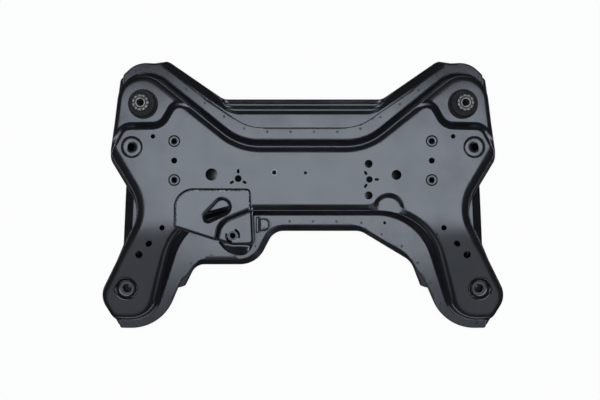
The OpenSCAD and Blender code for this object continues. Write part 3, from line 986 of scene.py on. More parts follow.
@dataclass
class PressedShape:
    """What both pressings share: the crest line, the horns' bend and the way its rings are spaced.

    Attributes:
        places: Mounting places.
        sheet: Sheet thickness.
        rear_crest_y: Crest line along the rear.
        front_crest_y: Crest line along the front.
        arm_root_x: Half width where the rear crest turns into the arm.
        horn_root_x: Half width where the front crest turns into the horn.
        waist_x: Half width of the waist.
        bend_start: Where the horns begin to bend.
        bend_length: Length over which they bend.
        weld_gap: Gap round a welded-in tube.
        arc_degrees: Angle of one step of a crest ring's arcs.
        edge_degrees: Angle of one step of an edge's arcs.
        spacer_r: Radius of an arm spacer's tube.
        nut_r: Radius of a rack nut's shank.
        horn_tube_r: Radius of a horn spacer's tube.
        locating_r: Radius of a locating hole.
    """

    places: MountPlaces
    sheet: float = 2.8
    rear_crest_y: float = 118.0
    front_crest_y: float = -38.0
    arm_root_x: float = 156.0
    horn_root_x: float = 299.0
    waist_x: float = 392.0
    bend_start: float = -40.0
    bend_length: float = 130.0
    weld_gap: float = 0.3
    arc_degrees: float = 2.6
    edge_degrees: float = 4.0
    spacer_r: float = 15.0
    nut_r: float = 9.0
    horn_tube_r: float = 17.0
    locating_r: float = 4.0

    # extra points along the crest's straights
    crest_counts = both_halves([12, 4, 3, 14, 10, 36, 56], 40, 40)
    # places of the small locating holes in the flange
    locating_holes = ((-417, 311), (398, 308), (-319, -215), (205, -69.5), (435, -319))

    def crest(self) -> Outline:
        """Crest line from the front round the horn and the arm to the rear, and its mirror image.

        Returns:
            The crest line.
        """
        (bush_x, bush_y), (boss_x, boss_y) = self.places.bush, self.places.boss
        horn_x, horn_y = self.places.horn
        return Outline.symmetric(
            (
                (self.horn_root_x, self.front_crest_y, 155),
                (horn_x - 54, horn_y - 72, 66),
                (horn_x + 33, horn_y - 72, 28),
                (horn_x + 64, horn_y - 23, 46),
                (self.waist_x, -30, 100),
                (boss_x + 52, boss_y - 17, 24),
                (bush_x + 48, bush_y + 124, 61),
                (self.arm_root_x, self.rear_crest_y, 146),
            )
        )

    def crest_ring(self, runs: Sequence[float]) -> Array:
        """Ring that follows the crest line at a run of its own along each edge.

        Args:
            runs: Outward run of each edge.

        Returns:
            Rows of (x, y); rings of different runs have equal numbers of points.
        """
        base = self.crest()
        return base.moved(runs).ring(base.steps(self.arc_degrees), self.crest_counts)

    def fall(self, points: Array, angle: float) -> Array:
        """How far a horn has bent away at each point.

        Args:
            points: Rows of (x, y).
            angle: Slope at the horn's end, in degrees.

        Returns:
            Array of drops.
        """
        past = np.maximum(self.bend_start - points[:, 1], 0.0)
        bent = np.minimum(past, self.bend_length)
        return math.tan(math.radians(angle)) * (bent**2 / (2 * self.bend_length) + past - bent)


@dataclass
class UpperPressing(PressedShape):
    """The drawn upper sheet: flange, wall, panel, bush pads and dished horn seats.

    Attributes:
        horn_angle: Slope of the horns at their ends, in degrees.
        pad_drop: How far the bush pads sit below the panel.
        pad_level: How far the crest line comes up to the level of the pads, from 0 to 1.
        step_run: Width of the step down to a pad.
        dish_r: Radius of a horn's dish.
        dish_depth: Depth of its seat.
        seat_hole_r: Hole in the seat.
        recess: Middle and radius of the half-round recess at the front right.
        recess_band: Width of the recess's arched wall.
    """

    horn_angle: float = 10.0
    pad_drop: float = 9.0
    pad_level: float = 0.6
    step_run: float = 21.0
    dish_r: float = 28.0
    dish_depth: float = 11.0
    seat_hole_r: float = 12.0
    recess: Triple = (209.0, -35.0, 34.0)
    recess_band: float = 13.0

    # share of the run out to the foot, or in to the panel, and share of the height
    wall_profile = (
        (1.0, 0.0), (0.94, 0.012), (0.88, 0.045), (0.78, 0.14), (0.2, 0.77), (0.08, 0.845),
        (0.0, 0.876), (-0.12, 0.906), (-0.35, 0.95), (-0.7, 0.988), (-1.0, 1.0),
    )
    crest_height = 0.876
    # runs from the crest out to the wall's foot, and in to the panel
    foot_runs = both_halves([16, 11, 6, 8, 16, 12, 18.5], 23.5, 13.5)
    panel_runs = [-run for run in both_halves([15, 15, 14, 20, 22, 10, 15], 16, 17)]
    # distance in from the flange's edge, and drop there
    edge_rounding = ((0.0, 1.0), (0.4, 0.72), (1.3, 0.12), (1.8, 0.0))
    # radius past the dish's radius, and share of its depth
    dish_profile = ((4, 0), (0, 0.05), (-3, 0.32), (-7, 0.86), (-10, 1.0))
    # single holes of the panel: x, y and radius
    round_holes = (
        (-223, 50, 15), (228, 49, 12.2), (160, 76, 9.8), (160, -1, 9.8), (-70, 55, 7.3),
        (6, 54, 3.7), (327, -96, 2.4), (-158, 40, 8.5), (162, 38, 8),
    )
    # three slots round each of two holes: x, y and direction of the first slot, then their circle, length and width
    slot_clusters = ((-158, 40, 90), (162, 38, 0))
    cluster_r, slot_length, slot_width = 18, 11, 6.5
    # holes of each horn: x, y, radius and sides, and the slot between them: x, y, length, width and direction
    horn_holes = ((344, -80, 6.8, 28), (402, -146, 9, 32))
    horn_slot = (377, -119, 17, 13, -40)

    def pad_outline(self) -> Outline:
        """Middle line of the step round the right bush pad, closed past the sheet on the outer side.

        Returns:
            The line.
        """
        (bush_x, bush_y), (boss_x, boss_y) = self.places.bush, self.places.boss
        side, far = boss_x + 48, boss_x + 128
        return Outline(
            (
                (far, boss_y + 3, 13),
                (far, bush_y + 200, 13),
                (bush_x - 119, bush_y + 200, 13),
                (bush_x - 119, bush_y - 2, 13),
                (bush_x - 76, bush_y, 26),
                (bush_x - 46, bush_y - 53, 38),
                (bush_x + 48, bush_y - 55, 30),
                (side, boss_y + 3, 13),
            )
        )

    def pad_ring(self, run: float) -> Array:
        """Ring a run inside the pad's outline."""
        return self.pad_outline().inset_ring(run, self.edge_degrees, 34)

    def top(self, points: Array) -> Array:
        """Height of the sheet's upper face on the panel, the pads and the horns.

        Args:
            points: Rows of (x, y).

        Returns:
            Array of heights.
        """
        return self.places.panel_z - self.pad_drop * self.on_pad(points) - self.fall(points, self.horn_angle)

    def on_pad(self, points: Array) -> Array:
        """Share of the way down the step to a bush pad, 0 on the panel and 1 on a pad.

        Args:
            points: Rows of (x, y).

        Returns:
            Array of shares.
        """
        folded = np.column_stack([np.abs(points[:, 0]), points[:, 1]])
        share = np.zeros(len(points))
        near = (folded[:, 1] > self.places.boss[1] - 40) & (folded[:, 0] > self.places.bush[0] - 150)
        if near.any():
            edge = self.pad_ring(0.0)
            depth = ring_distance(folded[near], edge) * np.where(inside_ring(folded[near], edge), 1, -1)
            share[near] = smoothstep(depth / self.step_run + 0.5)
        return share

    def recessed(self, points: Array, height: Array, crest: Array) -> Array:
        """Lower heights inside the half-round recess to the level of the crest.

        Args:
            points: Rows of (x, y).
            height: Heights before.
            crest: Heights of the crest level at the same points.

        Returns:
            Array of heights.
        """
        x, y, radius = self.recess
        away = np.linalg.norm(points - [x, y], axis=1)
        share = smoothstep((radius + self.recess_band / 2 - away) / self.recess_band)
        return height + share * np.minimum(crest - height, 0.0)

    def height(self, points: Array, share: float = 1.0) -> Array:
        """Height of the sheet at a share of the way up from the flange, with the recess.

        Args:
            points: Rows of (x, y).
            share: Share of the height.

        Returns:
            Array of heights.
        """
        base = self.places.flange_z + self.sheet
        top = self.top(points)
        crest = 1.0 - (1.0 - self.crest_height) * (1.0 - self.pad_level * self.on_pad(points))
        if share < self.crest_height:
            rise = share / self.crest_height * crest
        else:
            rise = 1.0 - (1.0 - share) / (1.0 - self.crest_height) * (1.0 - crest)
        return self.recessed(points, base + rise * (top - base), base + crest * (top - base))

    def flange_edge(self) -> Outline:
        """Outer edge of the flange: the front with its bay, the notches, the horns and the arms.

        Returns:
            The edge.
        """
        (bush_x, bush_y), (boss_x, boss_y) = self.places.bush, self.places.boss
        horn_x, horn_y = self.places.horn
        side = [
            (horn_x - 132, horn_y + 14, 8),
            (horn_x - 126, horn_y + 1, 8),
            (horn_x - 82, horn_y - 102, 113),
            (horn_x + 22, horn_y - 101, 7),
            (horn_x + 19, horn_y - 70, 3),
            (horn_x + 1, horn_y - 23, 20),
            (self.waist_x - 21, -30, 60),
            (boss_x + 16, boss_y + 65, 40),
            (bush_x + 56, bush_y + 33, 10),
            (bush_x + 59, bush_y + 78, 10),
            (bush_x + 25, bush_y + 110, 64),
            (bush_x - 35, bush_y + 107, 10),
            (self.arm_root_x + 99, self.rear_crest_y + 132, 100),
            (self.arm_root_x - 18, self.rear_crest_y + 52, 120),
        ]
        front_y, bay_y = -77, -162
        right = [(self.arm_root_x - 16, front_y, 50), (self.arm_root_x + 104, -148, 60)]
        left = [(-self.horn_root_x + 41, bay_y, 24), (-125, bay_y, 60), (-82, front_y, 45)]
        return Outline.symmetric(side, right, left)

    def panel_holes(self) -> list[Array]:
        """Holes in the panel, the pads and the horns.

        Returns:
            The rings of the holes.
        """
        rings = [circle_ring(x, y, r, 32) for x, y, r in self.round_holes]
        for x, y, start in self.slot_clusters:
            for angle in range(start, start + 360, 120):
                way = math.radians(angle)
                at = (x + self.cluster_r * math.cos(way), y + self.cluster_r * math.sin(way))
                rings.append(slot_ring(*at, self.slot_length, self.slot_width, angle, 8))
        (rear_x, rear_y), (_, front_y) = self.places.rack
        boss_x, boss_y = self.places.boss
        twins = [circle_ring(rear_x, (rear_y + front_y) / 2, 7.3, 32), circle_ring(boss_x - 52, boss_y + 26, 5.6, 28)]
        twins += [circle_ring(*hole) for hole in self.horn_holes]
        twins.append(slot_ring(*self.horn_slot))
        twins.append(circle_ring(*self.places.bush, self.places.housing_r + self.weld_gap, 96))
        twins.append(circle_ring(boss_x, boss_y, self.spacer_r + self.weld_gap, 48))
        twins += [circle_ring(*axis, self.nut_r + self.weld_gap, 32) for axis in self.places.rack]
        return rings + twins + [mirrored_ring(r) for r in twins]

    def dish_rings(self) -> list[Array]:
        """Right horn's dished seat.

        Returns:
            Rings of (x, y, z) rows, from the horn's face in to the hole.
        """
        horn = np.array(self.places.horn)
        seat_z = float(self.top(horn[None])[0]) - self.dish_depth
        keys = [(self.dish_r + past, share) for past, share in self.dish_profile] + [(self.seat_hole_r, 1.0)]
        rings = []
        for radius, share in monotone_curve(keys, 16):
            flat = circle_ring(*self.places.horn, radius, 64)
            rim = self.top(flat)
            rings.append(raised(flat, rim + share * (seat_z - rim)))
        return rings

    def _panel(self, mesh: SheetMesh, panel: Array) -> None:
        """Add the panel with the pads, the horns and their seats.

        Args:
            mesh: Faces of the sheet.
            panel: Ring where the panel meets the wall.
        """
        dish = self.dish_rings()
        mesh.sweep(dish)
        mesh.sweep([ring[::-1] * [-1, 1, 1] for ring in dish])
        rims = [dish[0][:, :2], mirrored_ring(dish[0][:, :2])]
        steps = [self.pad_ring(share * self.step_run) for share in np.linspace(-0.58, 0.58, 15)]
        x, y, radius = self.recess
        bands = [circle_ring(x, y, radius + self.recess_band * s, 110) for s in np.linspace(-0.6, 0.6, 9)]
        coarse = grid_points(panel, 10.0)
        folded = np.column_stack([np.abs(coarse[:, 0]), coarse[:, 1]])
        coarse = coarse[ring_distance(folded, self.pad_ring(0.0)) > 0.75 * self.step_run]
        coarse = coarse[np.abs(np.linalg.norm(coarse - [x, y], axis=1) - radius) > self.recess_band]
        loose = [coarse, *steps, *(mirrored_ring(s) for s in steps), *bands]
        mesh.fill(panel, self.panel_holes() + rims, self.height, loose, 1.2)

    def _flange(self, mesh: SheetMesh, foot: Array) -> None:
        """Add the flat flange with its rounded edge and locating holes.

        Args:
            mesh: Faces of the sheet.
            foot: Ring where the wall meets the flange.
        """
        edge, level = self.flange_edge(), self.places.flange_z + self.sheet
        rounding = [raised(edge.inset_ring(run, self.edge_degrees), level - drop) for run, drop in self.edge_rounding]
        mesh.sweep(rounding)
        rim = rounding[-1][:, :2]
        holes = [circle_ring(x, y, self.locating_r, 20) for x, y in self.locating_holes]
        loose = [self.crest_ring([run + out for run in self.foot_runs]) for out in (0.9, 2.2)]
        loose += [edge.inset_ring(3.0, self.edge_degrees), grid_points(rim, 9.0)]
        mesh.fill(rim, [foot, *holes], level, loose, 0.8)

    def build(self, finish: Material) -> Object:
        """Make the pressing.

        Args:
            finish: Material of the sheet.

        Returns:
            The finished piece.
        """
        mesh = SheetMesh()
        crest = self.crest_ring([0.0] * len(self.foot_runs))
        foot, panel = self.crest_ring(self.foot_runs), self.crest_ring(self.panel_runs)
        rings = []
        for share, rise in monotone_curve(self.wall_profile, 34):
            flat = crest + (foot - crest) * share if share > 0 else crest + (crest - panel) * share
            rings.append(raised(flat, self.height(flat, rise)))
        mesh.sweep(rings)
        self._panel(mesh, panel)
        self._flange(mesh, foot)
        thing = mesh.piece("upper_sheet", self.sheet, finish)
        return place_piece(thing, "black_paint", "upper_pressing")


@dataclass
class LowerPressing(PressedShape):
    """The drawn lower sheet: turned-down lip, pleated rear sill, flange, belly and floor.

    Attributes:
        floor_angle: Rise of the floor under the horns, in degrees.
        lip_depth: Depth of the turned-down edge.
        sill_depth: Depth of the wide rear sill.
        sill_y: Rear edge between the arms.
        sill_run: Width of the sill.
        front_lip_y: Front edge between the horns.
        bay_lip_y: Front edge below the bracket.
        front_run: Width of the lip along the front.
    """

    floor_angle: float = 5.0
    lip_depth: float = 24.0
    sill_depth: float = 16.5
    sill_y: float = 243.0
    sill_run: float = 44.0
    front_lip_y: float = -91.0
    bay_lip_y: float = -176.0
    front_run: float = 14.5

    # share of the way out across the lip, and share of its depth: the rear sill has two lands between three slopes
    lip_profile = ((0.0, 0.0), (0.04, 0.004), (0.1, 0.018), (0.86, 0.225), (0.89, 0.28), (1.0, 1.0))
    sill_profile = (
        (0.0, 0.0), (0.09, 0.0), (0.11, 0.012), (0.29, 0.255), (0.305, 0.266), (0.316, 0.267),
        (0.394, 0.269), (0.405, 0.271), (0.42, 0.282), (0.60, 0.56), (0.615, 0.571), (0.626, 0.572),
        (0.709, 0.574), (0.72, 0.576), (0.735, 0.59), (0.985, 0.985), (1.0, 1.0),
    )
    belly_profile = ((0.0, 1.0), (0.08, 0.975), (0.18, 0.86), (0.74, 0.16), (0.88, 0.03), (1.0, 0.0))
    # width of the lip along each edge of a side, front to rear
    side_runs = (5, 6, 6, 6, 6, 6, 25, 6, 6, 6, 6, 22)
    # runs from the crest to the belly's mouth and to the floor
    mouth_runs = both_halves([17, -8, -14, -14, -16, -14, 15], 17, 10)
    floor_runs = both_halves([-14, -22, -20, -20, -24, -18, -14], -16, -18)
    # round drains in the floor: x, y and radius
    drains = ((0, 40, 34), (-170, 40, 30), (170, 40, 30), (-85, -5, 6), (85, -5, 6))

    def edge(self) -> Outline:
        """Outer edge of the lip: the front with its bay, the horns, the waists, the arms and the sill.

        Returns:
            The edge.
        """
        (bush_x, bush_y), (boss_x, boss_y) = self.places.bush, self.places.boss
        horn_x, horn_y = self.places.horn
        side = [
            (horn_x - 139, horn_y + 2, 5),
            (horn_x - 119, horn_y - 3, 4),
            (horn_x - 77, horn_y - 96, 98),
            (horn_x + 25, horn_y - 96, 8),
            (horn_x + 37, horn_y - 75, 10),
            (horn_x + 71, horn_y - 27, 52),
            (self.waist_x + 63, -130, 25),
            (self.waist_x + 56, 32, 25),
            (boss_x + 68, boss_y - 11, 23),
            (bush_x + 68, bush_y + 69, 14),
            (bush_x + 25, bush_y + 104, 56),
            (bush_x - 54, bush_y + 115, 10),
            (self.arm_root_x + 44, self.sill_y, 31),
        ]
        right = [(self.arm_root_x - 9, self.front_lip_y, 46), (self.arm_root_x + 119, -168, 52)]
        left = [(-self.horn_root_x + 27, self.bay_lip_y, 35), (-118, self.bay_lip_y, 68), (-74, self.front_lip_y, 41)]
        return Outline.symmetric(side, right, left)

    def lip_runs(self) -> list[float]:
        """Width of the lip along each edge of its outline."""
        sides = [*self.side_runs, self.sill_run, *reversed(self.side_runs)]
        return [self.front_run] * 2 + sides + [self.front_run] * 4

    def floor(self, points: Array) -> Array:
        """Height of the floor's upper face at each point."""
        return self.sheet + self.fall(points, self.floor_angle)

    def _lip(self, outer: Array, root: Array) -> list[Array]:
        """Turned-down lip, which becomes the pleated sill between the arms.

        Args:
            outer: Ring of its outer edge.
            root: Ring where it meets the flange.

        Returns:
            Rings of (x, y, z) rows, from the outside in.
        """
        sill = smoothstep((self.arm_root_x + 58.0 - np.abs(outer[:, 0])) / 14.0) * (outer[:, 1] > 0)
        plain, pleated = np.array(self.lip_profile), np.array(self.sill_profile)
        shares = np.union1d(plain[:, 0], pleated[:, 0])
        halves = np.linspace(0, len(shares) - 1, 2 * len(shares) - 1)
        shares = np.union1d(shares, np.interp(halves, np.arange(len(shares)), shares))
        rings = []
        for share in shares[::-1]:
            drop = self.lip_depth * np.interp(share, plain[:, 0], plain[:, 1])
            step = self.sill_depth * np.interp(share, pleated[:, 0], pleated[:, 1])
            flat = root + (outer - root) * share
            rings.append(raised(flat, self.places.flange_z - drop - sill * (step - drop)))
        return rings

    def build(self, finish: Material) -> Object:
        """Make the pressing.

        Args:
            finish: Material of the sheet.

        Returns:
            The finished piece.
        """
        mesh = SheetMesh()
        edge, runs, level = self.edge(), self.lip_runs(), self.places.flange_z
        steps, counts = edge.steps(self.edge_degrees), [6] * len(runs)
        root = edge.moved([-r for r in runs]).ring(steps, counts)
        mesh.sweep(self._lip(edge.ring(steps, counts), root))

        mouth, low = self.crest_ring(self.mouth_runs), self.crest_ring(self.floor_runs)
        belly = []
        for share, rise in monotone_curve(self.belly_profile, 20):
            flat = mouth + (low - mouth) * share
            floor = self.floor(flat)
            belly.append(raised(flat, floor + rise * (level - floor)))
        mesh.sweep(belly)

        near_root = edge.moved([-r - 1.2 for r in runs]).ring(steps, counts)
        near_mouth = mouth + (mouth - low) / np.linalg.norm(mouth - low, axis=1)[:, None]
        spots = np.array(self.locating_holes, float)
        clear = inside_ring(spots, root) & (ring_distance(spots, root) > 5) & (ring_distance(spots, mouth) > 5)
        clear &= np.abs(spots[:, 0]) < self.horn_root_x - 40
        pierced = [circle_ring(x, y, self.locating_r, 20) for x, y in spots[clear]]
        mesh.fill(root, [mouth, *pierced], level, [near_root, near_mouth, grid_points(root, 12.0)], 0.8)

        tubes = [circle_ring(*self.places.bush, self.places.housing_r + self.weld_gap, 96)]
        tubes.append(circle_ring(*self.places.boss, self.spacer_r + self.weld_gap, 48))
        tubes.append(circle_ring(*self.places.horn, self.horn_tube_r + self.weld_gap, 48))
        holes = tubes + [mirrored_ring(t) for t in tubes] + [circle_ring(x, y, r, 48) for x, y, r in self.drains]
        mesh.fill(low, holes, self.floor, [grid_points(low, 14.0)], 4.0)
        thing = mesh.piece("lower_sheet", self.sheet, finish)
        return place_piece(thing, "black_paint", "lower_pressing")


def lathe_mesh(name: str, profile: Sequence[Pair], axis: Pair, sides: int) -> Mesh:
    """Turn a closed profile round an upright axis.

    Args:
        name: Name of the mesh.
        profile: Counter-clockwise rows of (radius, z) in millimetres, outer side going up.
        axis: Place of the axis.
        sides: Steps round the axis.

    Returns:
        The closed mesh, with faces that point outwards.
    """
    n = len(profile)
    angle = np.arange(sides) * (2 * math.pi / sides)
    radius, height = np.array(profile, float).T
    x = axis[0] + np.cos(angle)[:, None] * radius
    y = axis[1] + np.sin(angle)[:, None] * radius
    points = np.stack([x, y, np.broadcast_to(height, x.shape)], axis=2).reshape(-1, 3)
    faces = []
    for i in range(sides):
        here, there = i * n, (i + 1) % sides * n
        faces += [(here + j, there + j, there + (j + 1) % n, here + (j + 1) % n) for j in range(n)]
    mesh = bpy.data.meshes.new(name)
    mesh.from_pydata(points * MM, [], faces)
    return mesh


class NodeModifier:
    """A geometry node tree that is built in the script and run once on an object."""

    def __init__(self, name: str) -> None:
        """Start a tree that takes and gives a geometry.

        Args:
            name: Name of the tree.
        """
        self.tree = bpy.data.node_groups.new(name, "GeometryNodeTree")
        self.tree.interface.new_socket("Geometry", in_out="INPUT", socket_type="NodeSocketGeometry")
        self.tree.interface.new_socket("Geometry", in_out="OUTPUT", socket_type="NodeSocketGeometry")
        self.graph = Graph(self.tree)
        self.values: dict[str, object] = {}
        self.source = self.graph.node("NodeGroupInput")
        self.target = self.graph.node("NodeGroupOutput")

    def size(self, name: str, kind: str, value: object) -> NodeSocket:
        """Add a named input and give its socket.

        Args:
            name: Name of the input.
            kind: Blender's socket type.
            value: Value that the modifier gets.

        Returns:
            The input's socket inside the tree.
        """
        item = self.tree.interface.new_socket(name, in_out="INPUT", socket_type=kind)
        self.values[item.identifier] = value
        return next(s for s in self.source.outputs if s.identifier == item.identifier)

    def geometry(self) -> NodeSocket:
        """The geometry of the object that the tree runs on."""
        return self.source.outputs["Geometry"]

    def uneven(self, low: float, high: float, seed: int) -> NodeSocket:
        """Random value of each copy.

        Args:
            low: Least value.
            high: Greatest value.
            seed: Seed of the values.

        Returns:
            The value's socket.
        """
        made = self.graph.node("FunctionNodeRandomValue", {"Seed": seed}, data_type="FLOAT")
        ends = [s for s in made.inputs if s.type == "VALUE"]
        ends[0].default_value, ends[1].default_value = low, high
        return next(s for s in made.outputs if s.type == "VALUE")

    def copies(self, **feeds: NodeSocket) -> NodeSocket:
        """Copies of an Instance on Points, with their Rotation and Scale."""
        return self.graph.node("GeometryNodeInstanceOnPoints", feeds).outputs[0]

    def close(self, geometry: NodeSocket, finish: Material) -> None:
        """End the tree in Realize Instances and Set Material.

        Args:
            geometry: What the tree has made.
            finish: Material of the result.
        """
        real = self.graph.node("GeometryNodeRealizeInstances", {"Geometry": geometry})
        paint = self.graph.node("GeometryNodeSetMaterial", {"Geometry": real.outputs[0], "Material": finish})
        self.graph.feed(paint.outputs[0], self.target.inputs["Geometry"])

    def run(self, thing: Object) -> Object:
        """Run the tree on an object and keep its result as a plain mesh.

        Args:
            thing: The object.

        Returns:
            The same object.
        """
        modifier = thing.modifiers.new(self.tree.name, "NODES")
        modifier.node_group = self.tree
        for identifier, value in self.values.items():
            modifier[identifier] = value
        settle(thing)
        return thing


@dataclass
class RearBush:
    """One rear bush: the housing and outer sleeve stay CAD nodes, the rubber and inner sleeve are made here.

    Attributes:
        side: Name of the side.
        bore_r: Radius of the bolt bore.
        core_r: Radius of the inner sleeve's body.
        end_r: Radius over the teeth of its end.
        tooth_count: Number of teeth.
        tooth_width: Width of a tooth.
    """

    side: str
    bore_r: float = 8.5
    core_r: float = 15.5
    end_r: float = 19.5
    tooth_count: int = 11
    tooth_width: float = 7.6

    def __post_init__(self) -> None:
        """Read the bush's place and levels from its CAD nodes."""
        self.axis = node_axis(f"{self.side}_bush_housing")
        self.sleeve_top = node_levels(f"{self.side}_bush_inner_sleeve")[1]
        self.rubber_r = node_radius(f"{self.side}_bush_rubber")
        self.rubber_foot, self.rubber_top = node_levels(f"{self.side}_bush_rubber")

    def rubber(self, finish: Material) -> Object:
        """Make the rubber body: an upright side, a flat face with moulded rings, and a hollow foot.

        Args:
            finish: Material of the rubber.

        Returns:
            The finished piece.
        """
        r, core, top, foot = self.rubber_r, self.core_r + 0.05, self.rubber_top, self.rubber_foot
        keys = [(r, foot), (r, top - 2.4), (r - 0.6, top - 0.9), (r - 2.0, top - 0.1), (r - 4.0, top)]
        keys += [(r - 4.7, top - 0.9), (r - 6.0, top - 0.9), (r - 6.8, top - 0.1), (core + 6.0, top - 0.2)]
        keys += [(core + 4.6, top - 1.1), (core + 3.2, top - 1.1), (core + 2.2, top - 0.2), (core, top - 0.4)]
        keys += [(core, foot), (core + 5, foot), (core + 8, foot + 10), (r - 4, foot + 10)]
        mesh = lathe_mesh(f"{self.side}_rubber", keys, self.axis, 96)
        mesh.materials.append(finish)
        thing = new_piece(f"{self.side}_rubber", mesh)
        soften(thing, 0.5, 20.0)
        settle(thing)
        return place_piece(thing, "bush_rubber", f"{self.side}_bush_rubber")

    def sleeve(self, finish: Material) -> Object:
        """Make the inner sleeve: a turned body with a ring of teeth round its end.

        Args:
            finish: Material of the sleeve.

        Returns:
            The finished piece.
        """
        top, bore, core = self.sleeve_top, self.bore_r, self.core_r
        keys = [(core, 0.6), (core, top - 9), (core + 0.8, top - 8), (core + 0.8, top - 1.6), (core - 0.4, top - 0.5)]
        keys += [(core - 2.2, top - 0.5), (core - 2.8, top - 1.4), (core - 3.4, top - 1.4), (core - 4.0, top)]
        keys += [(bore + 1.4, top), (bore, top - 1.4), (bore, 0.6), (bore + 0.6, 0.0), (core - 0.6, 0.0)]
        mesh = lathe_mesh(f"{self.side}_sleeve", keys, self.axis, 96)
        thing = new_piece(f"{self.side}_sleeve", mesh)
        tree = NodeModifier(f"{self.side}_sleeve_teeth")
        graph = tree.graph
        count = tree.size("Teeth", "NodeSocketInt", self.tooth_count)
        radius = tree.size("Tooth Radius", "NodeSocketFloat", (self.end_r - 2.6) * MM)
        centre = tree.size("Axis", "NodeSocketVector", (self.axis[0] * MM, self.axis[1] * MM, (top - 3.6) * MM))
        tooth = tree.size("Tooth Size", "NodeSocketVector", (5.2 * MM, self.tooth_width * MM, 6.0 * MM))
        ring = graph.node("GeometryNodeMeshCircle", {"Vertices": count, "Radius": radius})
        block = graph.node("GeometryNodeMeshCube", {"Size": tooth})
        place = graph.node("GeometryNodeInputPosition")
        facing = graph.node("FunctionNodeAlignRotationToVector", {"Vector": place.outputs[0]}, axis="X")
        teeth = tree.copies(Points=ring.outputs[0], Instance=block.outputs[0], Rotation=facing.outputs[0])
        moved = graph.node("GeometryNodeTransform", {"Geometry": teeth, "Translation": centre})
        joined = graph.node("GeometryNodeJoinGeometry")
        for shape in (tree.geometry(), moved.outputs[0]):
            graph.feed(shape, joined.inputs[0])
        tree.close(joined.outputs[0], finish)
        tree.run(thing)
        soften(thing, 0.45, 30.0)
        settle(thing)
        return place_piece(thing, "bare_steel", f"{self.side}_bush_inner_sleeve")


@dataclass
class WeldBead:
    """A welded seam along a path: overlapping drops of metal.

    Attributes:
        name: Name of the piece.
        width: Width of the seam.
        pitch: Distance from drop to drop.
        sizes: Least and greatest size of a drop.
        seed: Seed of the drops' sizes.
    """

    name: str
    width: float = 4.2
    pitch: float = 3.7
    sizes: Pair = (0.3, 1.2)
    seed: int = 7

    def build(self, paths: Sequence[Array], finish: Material) -> Object:
        """Make the seam.

        Args:
            paths: Open paths of (x, y, z) rows in millimetres.
            finish: Material of the bead.

        Returns:
            The finished piece.
        """
        mesh = bpy.data.meshes.new(self.name)
        points = np.concatenate(paths) * MM
        edges, first = [], 0
        for path in paths:
            edges += [(first + i, first + i + 1) for i in range(len(path) - 1)]
            first += len(path)
        mesh.from_pydata(points, edges, [])
        thing = new_piece(self.name, mesh)
        tree = NodeModifier(f"{self.name}_drops")
        graph = tree.graph
        pitch = tree.size("Pitch", "NodeSocketFloat", self.pitch * MM)
        radius = tree.size("Drop Radius", "NodeSocketFloat", self.width / 2 * MM)
        squash = tree.size("Drop Shape", "NodeSocketVector", (0.85, 1.0, 0.55))
        curve = graph.node("GeometryNodeMeshToCurve", {"Mesh": tree.geometry()})
        spaced = graph.node("GeometryNodeResampleCurve", {"Curve": curve.outputs[0], "Length": pitch}, mode="LENGTH")
        spots = graph.node("GeometryNodeCurveToPoints", {"Curve": spaced.outputs[0]}, mode="EVALUATED")
        drop = graph.node("GeometryNodeMeshUVSphere", {"Segments": 12, "Rings": 7, "Radius": radius})
        shaped = graph.node("GeometryNodeTransform", {"Geometry": drop.outputs["Mesh"], "Scale": squash})
        along = {"Vector": spots.outputs["Tangent"]}
        facing = graph.node("FunctionNodeAlignRotationToVector", along, axis="X", pivot_axis="Z")
        drops = tree.copies(
            Points=spots.outputs["Points"],
            Instance=shaped.outputs[0],
            Rotation=facing.outputs[0],
            Scale=tree.uneven(*self.sizes, self.seed),
        )
        tree.close(drops, finish)
        return place_piece(tree.run(thing), "black_paint")


